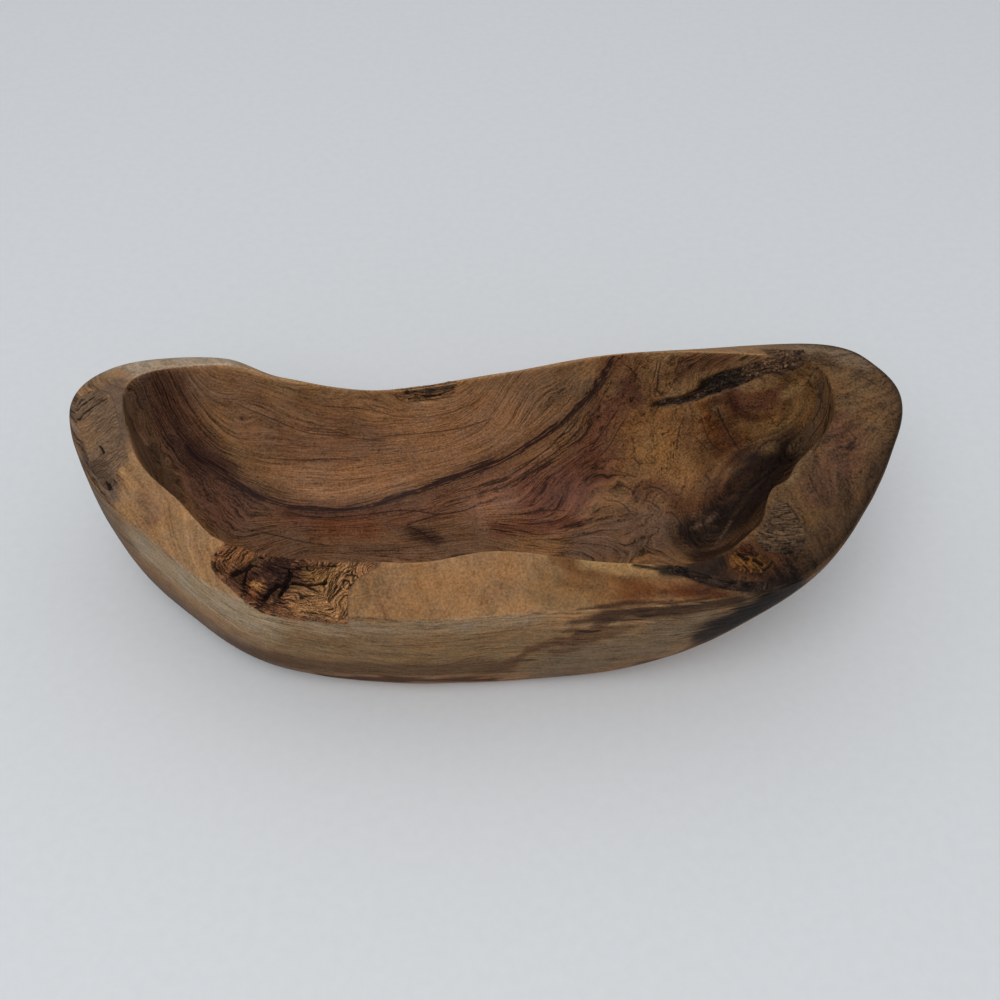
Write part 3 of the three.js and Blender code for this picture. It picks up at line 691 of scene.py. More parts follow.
def sweep(low, high, share, fullness):
    """Quarter of a superellipse that leaves low level and reaches high upright."""
    angle = share * math.pi / 2
    reach = np.sin(angle) ** (2 / fullness)
    rise = 1 - max(math.cos(angle), 0.0) ** (2 / fullness)
    points = blend(low, high, np.reshape(reach, (-1, 1)))
    points[:, 2] = blend(low[:, 2], high[:, 2], rise)
    return points


def eased_edge(before, corner, after, easing):
    """Rows that round the edge between two faces."""
    start = corner + unit(before - corner) * easing
    end = corner + unit(after - corner) * easing
    shares = np.linspace(0, 1, EDGE_ROWS)
    return [start * (1 - s) ** 2 + corner * 2 * s * (1 - s) + end * s**2 for s in shares]


def hull_rows(sizes):
    """Rows of points from the middle of the foot, up and over the rim, to the middle of the floor,
    and the face that each row belongs to."""
    t = np.arange(AROUND) / AROUND
    foot, outer, inner, floor, fullness = hull_guides(sizes, t)
    wall = [sweep(foot, outer, s, fullness) for s in np.linspace(0, 1 - EDGE_MARGIN, WALL_ROWS)]
    hollow = [sweep(floor, inner, 1 - s, HOLLOW_FULLNESS)
              for s in np.linspace(EDGE_MARGIN, 1, HOLLOW_ROWS)]
    easing = sizes.edge_easing / np.linalg.norm(inner - outer, axis=1)
    face = []
    for k in np.linspace(0, 1, FACE_ROWS):
        s = blend(easing, 1 - easing, k)[:, None]
        points = blend(outer, inner, s)
        points[:, 2] += (sizes.rim_crown * 4 * s * (1 - s))[:, 0]
        face.append(points)
    foot_middle = np.zeros(3)
    floor_middle = np.array([sizes.rim_offset, 0, sizes.floor_thickness])
    outer_edge = eased_edge(wall[-1], outer, face[0], sizes.edge_easing)
    inner_edge = eased_edge(face[-1], inner, hollow[0], sizes.edge_easing)
    half = EDGE_ROWS // 2 + 1
    stages = [
        ("foot", [blend(foot_middle, foot, s) for s in np.arange(1, FOOT_RINGS) / FOOT_RINGS]),
        ("wall", wall + outer_edge[:half]),
        ("rim", outer_edge[half:-1] + face + inner_edge[1:half]),
        ("hollow", inner_edge[half:] + hollow),
        ("hollow", [blend(floor, floor_middle, s) for s in np.arange(1, FLOOR_RINGS) / FLOOR_RINGS]),
    ]
    rows = np.array([row for _, group in stages for row in group])
    faces = np.array([name for name, group in stages for _ in group])
    return rows, faces, foot_middle, floor_middle


def row_normals(rows):
    """Outward normals of the rows, from their neighbours around and across."""
    around = np.roll(rows, -1, axis=1) - np.roll(rows, 1, axis=1)
    across = np.gradient(rows, axis=0)
    return unit(np.cross(around, across) + NO_AREA)


def row_quads(first, last):
    """Quads between the rows from first to last, as indices into the flattened rows."""
    row, k = np.meshgrid(np.arange(first, last), np.arange(AROUND), indexing="ij")
    here = row * AROUND + k
    beside = row * AROUND + (k + 1) % AROUND
    return np.stack([here, beside, beside + AROUND, here + AROUND], -1).reshape(-1, 4)


def closed_faces(row_count):
    """Quads of all the rows, and fans to the middles of the foot and the floor, which follow them."""
    first = np.arange(AROUND)
    beside = np.roll(first, -1)
    last = (row_count - 1) * AROUND
    foot_middle = row_count * AROUND
    foot_fan = [(foot_middle, b, a) for a, b in zip(first, beside)]
    floor_fan = [(last + a, last + b, foot_middle + 1) for a, b in zip(first, beside)]
    return row_quads(0, row_count - 1).tolist() + foot_fan + floor_fan


def waver(points, size, seed):
    """Smooth wandering between about -1 and 1, over a length in metres."""
    offset = Vector([seed * step for step in SEED_STEPS])
    return np.array([noise.noise(Vector(p) / size + offset) for p in points])


# Seats of bark and knots: those with dirt round them, how deep they are looked for, how wide their
# slope is, how far round them dirt reaches, and the gap to the piece in them
DARK_SEATS = ["front_bark", "right_bark_seam", "inner_bark_pocket"]
SEAT_PROBE = 2.2 * MM
SEAT_SLOPE = 1.4 * MM
SEAT_REACH = 6 * MM
SEAT_GAP = 0.6 * MM
# A ray that runs along no wall, and the step that takes it past one
PROBE_RAY = Vector((0.11, 0.23, 0.97))
PAST_WALL = 0.001 * MM


def search_tree(name):
    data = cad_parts[name].data
    return BVHTree.FromPolygons([v.co for v in data.vertices], [p.vertices for p in data.polygons])


def inside(tree, point):
    """Whether a point lies in a closed shell, by counting the walls above it."""
    walls = 0
    hit = tree.ray_cast(point, PROBE_RAY)[0]
    while hit is not None:
        walls += 1
        hit = tree.ray_cast(hit + PROBE_RAY * PAST_WALL, PROBE_RAY)[0]
    return walls % 2 == 1


def seat_shares(points, normals):
    """How far each point lies in the seat of a bark piece or knot, from 0 to 1, and its distance
    to the nearest dark seat."""
    depth = np.zeros(len(points))
    gap = np.full(len(points), SEAT_REACH)
    for name in BARK:
        low, high = (np.array(corner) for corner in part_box(name))
        tree = search_tree(name)
        near = np.all((points > low - SEAT_REACH) & (points < high + SEAT_REACH), axis=1)
        for k in np.nonzero(near)[0]:
            probe = Vector(points[k] - normals[k] * SEAT_PROBE)
            seated = inside(tree, probe)
            if seated:
                depth[k] = max(depth[k], tree.find_nearest(probe)[3])
            if name in DARK_SEATS:
                gap[k] = min(gap[k], 0.0 if seated else tree.find_nearest(Vector(points[k]))[3])
    return ease(depth, 0, SEAT_SLOPE), gap


def carve(sizes, rows, faces):
    """Points of the rows with the waver of hand carving and the seats of bark and knots, their
    normals, and their distance to the nearest dark seat."""
    row_face = np.repeat(faces, AROUND)
    points = rows.reshape(-1, 3)
    normals = row_normals(rows).reshape(-1, 3)
    lift = ease(points[:, 2], WAVER_FROM, WAVER_FULL) * np.where(row_face == "rim", RIM_SHARE, 1.0)
    lift = np.where(row_face == "hollow", 1.0, lift) * sizes.hand_waver
    points = points + normals * (lift * (waver(points, WAVES, 1)
                                         + RIPPLE_SHARE * waver(points, RIPPLES, 2)))[:, None]
    seated, gap = seat_shares(points, normals)
    return points - normals * (seated * sizes.seat_dish)[:, None], normals, gap


def face_trees(points, faces):
    """Search trees of the wall, the rim and the hollow, each with the row before and after it."""
    trees = {}
    for face in ("wall", "rim", "hollow"):
        own = np.nonzero(faces == face)[0]
        quads = row_quads(own[0] - 1, min(own[-1] + 1, len(faces) - 1))
        trees[face] = BVHTree.FromPolygons(points.tolist(), quads.tolist())
    return trees


def edge_band(rows, faces, face, solid, faded):
    """Band along the edge where a face begins, from 1 to 0; both middles are outside it."""
    edge = rows[np.nonzero(faces == face)[0][0]]
    distance = np.linalg.norm(rows - edge, axis=-1).ravel() / MM
    return np.append(1 - ease(distance, solid, faded), [0, 0])


def from_pith(in_mm):
    return np.hypot(in_mm[:, 1] - PITH_Y, in_mm[:, 2] - PITH_Z)


def grain_level(points, hollow, lines):
    """Level across the grain in mm: rings round the pith, bent in the hollow to the lines there."""
    def rings(at):
        return from_pith(at) + GRAIN_RISE * at[:, 0] - GRAIN_LEVEL_OF_PITH
    knots = np.concatenate([line[::2] for line in lines])
    wanted = np.concatenate([np.full(len(line[::2]), level, float)
                             for line, (level, _) in zip(lines, GRAIN)])

    def pull(a, b):
        apart = np.linalg.norm(a[:, None] - b[None], axis=-1)
        return np.exp(-(apart / GRAIN_REACH) ** 2)
    weights = np.linalg.solve(pull(knots, knots) + GRAIN_STIFFNESS * np.eye(len(knots)),
                              wanted - rings(knots))
    level = rings(points)
    for chunk in np.array_split(np.nonzero(hollow)[0], GRAIN_CHUNKS):
        level[chunk] += pull(points[chunk], knots) @ weights
    return level


def plain_wood(colours, points, along, level, wall):
    """Colours of the wood before any brush; also its fine streaks, the dark heart streaks of the
    outer wall, and how knotty it is."""
    in_mm = points / MM
    x, y, z = in_mm.T
    rings = from_pith(in_mm) + RING_WANDER * np.append(waver(points[:-2], RING_WAVES, 3), [0, 0])
    knotty = ease(x - KNOTTY_LEAN * y + rings * KNOTTY_OUTWARDS, KNOTTY_FROM, KNOTTY_TO)
    grain = np.column_stack([along / STREAK_LENGTH, level / STREAK_WIDTH, 0 * level])
    streak = np.array([noise.fractal(Vector(g), DIMENSION, LACUNARITY, STREAK_LAYERS) for g in grain])
    grain = grain / [BROAD_LENGTH, BROAD_WIDTH, 1] + [0, 0, BROAD_SEED]
    broad = np.array([noise.fractal(Vector(g), DIMENSION, LACUNARITY, BROAD_LAYERS) for g in grain])
    heart = wall * np.maximum(ease(y, *HEART_BACK), knotty) * ease(broad + HEART_FRAY * streak,
                                                                   *HEART_BREADTH)
    left = ease(-x + LEFT_FRAY * streak, *WEATHERED_LEFT)
    # greyer and darker towards the foot, left of the middle: weathered wood with painted shade
    low = ease(-z + LOW_FRAY * streak, *WEATHERED_AND_SHADED_LOW) * ease(-x, *LOW_LEFT)
    weathered = wall * np.maximum(left, low)
    tint = np.array(colours.heartwood)
    for colour, share in ((colours.sapwood, ease(rings, HEART_EDGE, SAP_EDGE)),
                          (colours.knotty_wood, KNOTTY_TINT * knotty),
                          (colours.heart_streak, HEART_TINT * heart),
                          (colours.weathered_and_shaded_wood, WEATHERED_TINT * weathered)):
        tint = blend(tint, np.array(colour), share[:, None])
    return tint, streak, heart, knotty


def painted(points, base, strokes, cast, streak):
    """Base colours with brush strokes laid over them, in order."""
    tint = np.array(base)
    for _, half_width, softness, colour, strength, pixels in strokes:
        mask = strength * brush_mask(points, cast(pixels), half_width, softness, streak)
        tint = blend(tint, np.array(linear(colour)), mask[:, None])
    return tint


def new_piece(name, vertices, faces, material, node, slot, finish=None, **attributes):
    """A finished piece that stands for a CAD node, with its attributes on its points; finish may add
    to its mesh."""
    mesh = bpy.data.meshes.new(name)
    mesh.from_pydata(vertices, [], faces)
    mesh.shade_smooth()
    for key, values in attributes.items():
        colour = np.ndim(values) == 2
        layer = mesh.attributes.new(key, "FLOAT_COLOR" if colour else "FLOAT", "POINT")
        if colour:
            values = np.column_stack([values, np.ones(len(values))])
        layer.data.foreach_set("color" if colour else "value", np.ravel(values).astype(np.float32))
    mesh.materials.append(material)
    piece = bpy.data.objects.new(name, mesh)
    bpy.context.scene.collection.objects.link(piece)
    if finish:
        finish(piece)
    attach(piece, BODY)
    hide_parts(node)


def add_node(tree, kind, inputs=(), output=0, **settings):
    """Add a node with its settings, and its sockets' values or links, in order or by name; returns
    one output, or the node itself. A short kind is a shader node."""
    node = tree.nodes.new(kind if "Node" in kind else "ShaderNode" + kind)
    for name, value in settings.items():
        setattr(node, name, value)
    for socket, value in inputs.items() if isinstance(inputs, dict) else enumerate(inputs):
        if isinstance(value, bpy.types.NodeSocket):
            tree.links.new(value, node.inputs[socket])
        else:
            node.inputs[socket].default_value = value
    return node if output is None else node.outputs[output]


def blank_material(name):
    """A new material, and the function that adds nodes to it."""
    material = bpy.data.materials.new(name)
    material.use_nodes = True
    material.node_tree.nodes.clear()
    return material, functools.partial(add_node, material.node_tree)


WOOD_IOR = 1.5
WOOD_SPECULAR, BARK_SPECULAR = 0.13, 0.12
WOOD_RELIEF, BARK_RELIEF = 0.16 * MM, 0.35 * MM


def finish_material(node, colour, roughness, height, depth, specular):
    """Close a wood or bark surface: its colour, its sheen and its small relief in metres."""
    normal = node("Bump", {"Height": height, "Distance": depth, "Strength": 1.0})
    surface = node("BsdfPrincipled", {"Base Color": colour, "Roughness": roughness, "IOR": WOOD_IOR,
                                      "Specular IOR Level": specular, "Normal": normal})
    node("OutputMaterial", {"Surface": surface}, None)


# Patterns along the grain of the wood: length and width in mm, and detail. Real fibres and pores are
# finer, and are drawn as coarse as they need to show.
STREAKS = {"fibre": (16.0, 0.8, 3.0), "fleck": (4.0, 0.45, 2.0), "band": (90.0, 3.4, 2.0),
           "crease": (45.0, 2.6, 2.0), "wisp": (20.0, 1.2, 4.0)}
# Patterns that run no way: size in mm, and detail
SPECKS = {"speck": (0.8, 3.0), "cloud": (8.0, 4.0), "drift": (13.0, 2.0), "stray": (9.0, 3.0),
          "curl": (3.4, 4.0), "whorl": (13.0, 2.5)}
STREAK_ROUGHNESS, SPECK_ROUGHNESS = 0.6, 0.65
HALF = 0.5
# How far the grain sways, in mm, and how much of each wisp curls: in plain wood, and more in burl
PLAIN_SWAY, BURL_SWAY = 2.4, 15.0
PLAIN_CURL, BURL_CURL = 0.1, 0.4
# What lightens and darkens the wood: the pattern, the attribute that weighs it, and its strength
GAINS = (("fibre", "fibrous", 1.9), ("fleck", "fibrous", 1.6), ("band", "fibrous", 0.7),
         ("speck", "curly", 2.6), ("cloud", "curly", 0.9))
PLAIN_GAIN, FOLD_GAIN, PORE_GAIN, LEAST_GAIN = 1.04, -0.5, -0.22, 0.2
SMOKE_WISPS = 0.6
# Thin lines in the wood: the pattern whose middle they follow, and the attribute that weighs them
FOLDS = (("crease", "creased"), ("whorl", "burl"))
# Smooth steps: where each begins and ends, and its value before and after. Those of the vein, its
# halo, drawn lines and dirt are distances in mm.
EDGES = {"crease": (0.004, 0.03, 1.0, 0.0), "whorl": (0.003, 0.018, 0.8, 0.0),
         "come and go": (0.4, 0.56, 0.0, 1.0), "pores": (0.62, 0.72, 0.0, 1.0),
         "wisps": (0.74, 0.84, 1.0, 0.27), "warmth": (0.35, 0.65, 0.0, 1.0),
         "vein": (0.5, 2.2, 0.92, 0.0), "halo": (1.5, 6.5, 0.34, 0.0),
         "drawn": (0.1, 0.5, 0.9, 0.0), "dirt": (0.1, 1.2, 0.6, 0.0)}
COOL, WARM = (0.96, 1.0, 1.06, 1), (1.05, 0.99, 0.9, 1)
# How far the vein wanders and feathers, and how far drawn lines shake, in mm
VEIN_WANDER, VEIN_FEATHER, INK_SHAKE = 3.0, 5.0, 1.2
# Roughness of oiled wood, and what dull wood and its fibres add
SATIN, DULL, FIBRE_DULL = 0.46, 0.2, 0.16
# Heights in the relief, as shares of the fibres' own
PORE_HEIGHT, SPECK_HEIGHT, FOLD_HEIGHT = -0.3, 0.5, -0.8


def olive_wood(colours):
    """Olive wood, hand carved and oiled: a satin face, flowing fibres and open pores, soft clouds,
    thin creases, one dark vein, and dirt where the wood meets bark"""
    material, node = blank_material("oiled olive wood")
    smooth = {"interpolation_type": "SMOOTHSTEP"}
    point = node("TexCoord", (), 3)
    in_mm = node("VectorMath", {0: point, "Scale": 1 / MM}, operation="SCALE")
    own = {name: node("Attribute", (), 2, attribute_name=name)
           for name in ("level", "along", "vein", "burl", "matte", "ink", "inked", "seat", "fibrous",
                        "curly", "creased", "smoke")}
    look = {name: node("TexNoise", {"Vector": in_mm, "Scale": 1 / size, "Detail": detail,
                                    "Roughness": SPECK_ROUGHNESS})
            for name, (size, detail) in SPECKS.items()}
    sway = node("Math", (own["burl"], BURL_SWAY, PLAIN_SWAY), operation="MULTIPLY_ADD")
    drift = node("Math", (look["drift"], HALF), operation="SUBTRACT")
    across = node("Math", (drift, sway, own["level"]), operation="MULTIPLY_ADD")
    for name, (length, width, detail) in STREAKS.items():
        place = node("CombineXYZ", (node("Math", (own["along"], length), operation="DIVIDE"),
                                    node("Math", (across, width), operation="DIVIDE")))
        look[name] = node("TexNoise", {"Vector": place, "Scale": 1.0, "Detail": detail,
                                       "Roughness": STREAK_ROUGHNESS}, noise_dimensions="2D")
    swing = {name: node("Math", (look[name], HALF), operation="SUBTRACT")
             for name in ("fibre", "fleck", "band", "crease", "speck", "cloud", "stray", "whorl")}
    come_and_go = node("MapRange", (look["stray"], *EDGES["come and go"]), **smooth)
    folds = []
    for name, weight in FOLDS:
        line = node("Math", (swing[name],), operation="ABSOLUTE")
        line = node("MapRange", (line, *EDGES[name]), **smooth)
        line = node("Math", (line, own[weight]), operation="MULTIPLY")
        folds.append(node("Math", (line, come_and_go), operation="MULTIPLY"))
    fold = node("Math", folds, operation="MAXIMUM")
    pores = node("MapRange", (look["fleck"], *EDGES["pores"]), **smooth)
    gain = PLAIN_GAIN
    for name, weight, strength in GAINS:
        weighed = node("Math", (swing[name], own[weight]), operation="MULTIPLY")
        gain = node("Math", (weighed, strength, gain), operation="MULTIPLY_ADD")
    gain = node("Math", (fold, FOLD_GAIN, gain), operation="MULTIPLY_ADD")
    gain = node("Math", (pores, PORE_GAIN, gain), operation="MULTIPLY_ADD")
    gain = node("Math", (gain, LEAST_GAIN), operation="MAXIMUM")
    winding = node("Math", (own["burl"], BURL_CURL, PLAIN_CURL), operation="MULTIPLY_ADD")
    wisps = node("Mix", {0: winding, 2: look["wisp"], 3: look["curl"]})
    wisps = node("Math", (own["smoke"], SMOKE_WISPS, wisps), operation="MULTIPLY_ADD")
    wisps = node("MapRange", (wisps, *EDGES["wisps"]), **smooth)
    gain = node("Math", (gain, wisps), operation="MULTIPLY")
    warmth = node("MapRange", (look["stray"], *EDGES["warmth"]), **smooth)
    warmth = node("Mix", {0: warmth, 6: COOL, 7: WARM}, 2, data_type="RGBA")
    tint = node("Attribute", (), 0, attribute_name="tint")
    tint = node("VectorMath", (tint, warmth), operation="MULTIPLY")
    grained = node("VectorMath", {0: tint, "Scale": gain}, operation="SCALE")
    wander = node("Math", (swing["stray"], VEIN_WANDER, own["vein"]), operation="MULTIPLY_ADD")
    feather = node("Math", (swing["fibre"], VEIN_FEATHER, wander), operation="MULTIPLY_ADD")
    from_vein = node("Math", (feather,), operation="ABSOLUTE")
    core, halo = (node("MapRange", (from_vein, *EDGES[name]), **smooth) for name in ("vein", "halo"))
    shaky = node("Math", (swing["speck"], INK_SHAKE, own["ink"]), operation="MULTIPLY_ADD")
    from_line = node("Math", (shaky,), operation="ABSOLUTE")
    drawn = node("MapRange", (from_line, *EDGES["drawn"]), **smooth)
    drawn = node("Math", (drawn, own["inked"]), operation="MULTIPLY")
    dark = node("Math", (node("Math", (core, halo), operation="MAXIMUM"), drawn), operation="MAXIMUM")
    veined = node("Mix", {0: dark, 6: grained, 7: rgba(colours.vein)}, 2, data_type="RGBA")
    dirt = node("MapRange", (own["seat"], *EDGES["dirt"]), **smooth)
    colour = node("Mix", {0: dirt, 6: veined, 7: rgba(colours.ingrown_bark)}, 2, data_type="RGBA")
    dull = node("Math", (own["matte"], DULL, SATIN), operation="MULTIPLY_ADD")
    roughness = node("Math", (look["fibre"], FIBRE_DULL, dull), operation="MULTIPLY_ADD")
    height = node("Math", (look["fibre"], own["fibrous"]), operation="MULTIPLY")
    for pattern, share in ((pores, PORE_HEIGHT), (look["speck"], SPECK_HEIGHT), (fold, FOLD_HEIGHT)):
        height = node("Math", (pattern, share, height), operation="MULTIPLY_ADD")
    finish_material(node, colour, roughness, height, WOOD_RELIEF, WOOD_SPECULAR)
    return material


# Finishes of bark and knots: the colour of the shade painted into the crevices, the fibres (length,
# width and sway in mm), the contrast, the size of the grit in mm, and the roughness
BARK_FINISHES = {
    # loose strands over deep shade, matt and warm
    "dry fibrous bark": dict(crevice="#170e0a", fibres=(6.0, 0.3, 2.5), contrast=4.6, grit=0.5,
                             roughness=0.8),
    # bleached and flat, almost without sheen
    "weathered grey bark": dict(crevice="#1d1511", fibres=(5.0, 0.5, 2.5), contrast=2.2, grit=0.8,
                                roughness=0.88),
    # nearly black and gritty
    "crumbling ingrown bark": dict(crevice="#0d0907", fibres=(6.0, 0.6, 2.5), contrast=4.0, grit=0.9,
                                   roughness=0.75),
    # fine dark lines across dull brown wood
    "sawn end grain": dict(crevice="#140d0a", fibres=(7.0, 0.36, 1.6), contrast=5.0, grit=0.9,
                           roughness=0.75),
    # torn and lumpy, a little oily
    "rough knot bark": dict(crevice="#130b07", fibres=(5.0, 0.6, 2.5), contrast=4.0, grit=0.9,
                            roughness=0.7),
}
BARK_WARP = 5.0
FIBRE_ROUGHNESS = 0.65
GRIT_GAIN, GRIT_HEIGHT = 0.6, 0.5
LEAST_BARK_GAIN = 0.1


def bark_material(finish):
    """Bark or sawn knot wood: dry and matt, fibres that follow its edge, shade painted into its furrows and
    crevices
    """
    spec = BARK_FINISHES[finish]
    fibre_length, fibre_width, sway = spec["fibres"]
    contrast = spec["contrast"]
    material, node = blank_material(finish)
    point = node("TexCoord", (), 3)
    in_mm = node("VectorMath", {0: point, "Scale": 1 / MM}, operation="SCALE")
    own = {name: node("Attribute", (), 2, attribute_name=name)
           for name in ("fibre_along", "fibre_across", "dark")}
    warp = node("TexNoise", {"Vector": in_mm, "Scale": 1 / BARK_WARP, "Detail": 2.0})
    across = node("Math", (warp, sway, own["fibre_across"]), operation="MULTIPLY_ADD")
    place = node("CombineXYZ", (node("Math", (own["fibre_along"], fibre_length), operation="DIVIDE"),
                                node("Math", (across, fibre_width), operation="DIVIDE")))
    fibre = node("TexNoise", {"Vector": place, "Scale": 1.0, "Detail": 3.0,
                              "Roughness": FIBRE_ROUGHNESS}, noise_dimensions="2D")
    grit = node("TexNoise", {"Vector": in_mm, "Scale": 1 / spec["grit"], "Detail": 3.0})
    plain_gain = 1.0 - HALF * (1 + GRIT_GAIN) * contrast
    gain = node("Math", (fibre, contrast, plain_gain), operation="MULTIPLY_ADD")
    gain = node("Math", (grit, GRIT_GAIN * contrast, gain), operation="MULTIPLY_ADD")
    gain = node("Math", (gain, LEAST_BARK_GAIN), operation="MAXIMUM")
    tint = node("Attribute", (), 0, attribute_name="tint")
    grained = node("VectorMath", {0: tint, "Scale": gain}, operation="SCALE")
    # painted shade: furrows, hollows and crevices are darkened towards their shade colour
    colour = node("Mix", {0: own["dark"], 6: grained, 7: rgba(linear(spec["crevice"]))}, 2,
                  data_type="RGBA")
    height = node("Math", (grit, GRIT_HEIGHT, fibre), operation="MULTIPLY_ADD")
    finish_material(node, colour, spec["roughness"], height, BARK_RELIEF, BARK_SPECULAR)
    return material


def settings_of(context):
    scene = context.scene
    return scene.bowl_sizes, scene.wood_colours, PhotoView(scene.bowl_stage)


class DOUGHBOWL_OT_carve_body(bpy.types.Operator):
    """Carve the olive wood body, with its grain, vein and burl"""
    bl_idname = "doughbowl.carve_body"
    bl_label = "Carve Body"

    def execute(self, context):
        sizes, colours, view = settings_of(context)
        rows, faces, foot_middle, floor_middle = hull_rows(sizes)
        points, normals, gap = carve(sizes, rows, faces)
        trees = face_trees(points, faces)
        points = np.concatenate([points, [foot_middle, floor_middle]])
        normals = np.concatenate([normals, [(0, 0, -1), (0, 0, 1)]])
        row_face = np.append(np.repeat(faces, AROUND), ["foot", "hollow"])
        hollow, rim, wall = (row_face == face for face in ("hollow", "rim", "wall"))
        in_mm = points / MM

        lines = [view.cast(trees["hollow"], pixels) for _, pixels in GRAIN]
        level = grain_level(in_mm, hollow, lines)
        along = in_mm[:, 0] + GRAIN_LEAN * in_mm[:, 1]
        vein = np.full(len(points), FAR_FROM_VEIN)
        vein[hollow] = path_place(in_mm[hollow], lines[0][VEIN_FROM:])[0]
        vein = np.where(level < 0, -vein, vein)

        tint, streak, heart, knotty = plain_wood(colours, points, along, level, wall)
        ink = np.full(len(points), INK_REACH)
        inked = np.zeros(len(points))
        for face, strokes in BRUSH.items():
            own = row_face == face
            cast = functools.partial(view.cast, trees[face])
            tint[own] = painted(in_mm[own], tint[own], strokes, cast, streak[own])
            drawn = [(weight, cast(pixels)) for weight, pixels in INK[face]]
            ink[own], inked[own] = ink_distance(in_mm[own], normals[own], drawn)
        # wear with a painted highlight along the hollow's edge
        worn = edge_band(rows, faces, "hollow", *WEAR_AND_HIGHLIGHT_EDGE)
        grimy = edge_band(rows, faces, "rim", *GRIMY_EDGE)
        tint = tint * (1 + WEAR_AND_HIGHLIGHT_GAIN * worn - GRIMY_DARK * knotty * grimy)[:, None]

        burl, torn = np.zeros((2, len(points)))
        smoke = HEART_SMOKE * heart
        for mask, table in ((burl, BURL), (torn, TORN), (smoke, SMOKY)):
            for face, strokes in table.items():
                own = np.nonzero(row_face == face)[0]
                for half_width, softness, strength, pixels in strokes:
                    line = view.cast(trees[face], pixels)
                    stroke = strength * brush_mask(in_mm[own], line, half_width, softness)
                    mask[own] = np.maximum(mask[own], stroke)

        def by_face(in_hollow, on_rim, elsewhere):
            return np.where(hollow, in_hollow, np.where(rim, on_rim, elsewhere))
        fibrous = by_face(*FIBROUS) + KNOTTY_FIBRES * knotty * rim
        fibrous = (fibrous + TORN_FIBRES * torn) * (1 + BURL_FIBRES * burl)
        curly = by_face(*CURLY) + KNOTTY_CURLS * knotty * rim + BURL_CURLS * burl
        under_vein = blend(CREASED_ABOVE_VEIN, 1.0, ease(-level, 0, CREASED_FULL))
        creased = by_face(*CREASED) * np.where(hollow, under_vein, 1.0)
        creased = np.maximum(creased, torn) * (1 + BURL_CREASES * burl)
        new_piece("carved_olive_body", points.tolist(), closed_faces(len(rows)), olive_wood(colours),
                  "bowl_body", "olive_wood", tint=tint, level=level, along=along, vein=vein, burl=burl,
                  matte=by_face(*MATTE), ink=ink, inked=inked, fibrous=fibrous, curly=curly,
                  creased=creased, smoke=smoke, seat=np.append(gap, [SEAT_REACH, SEAT_REACH]) / MM)
        return {"FINISHED"}
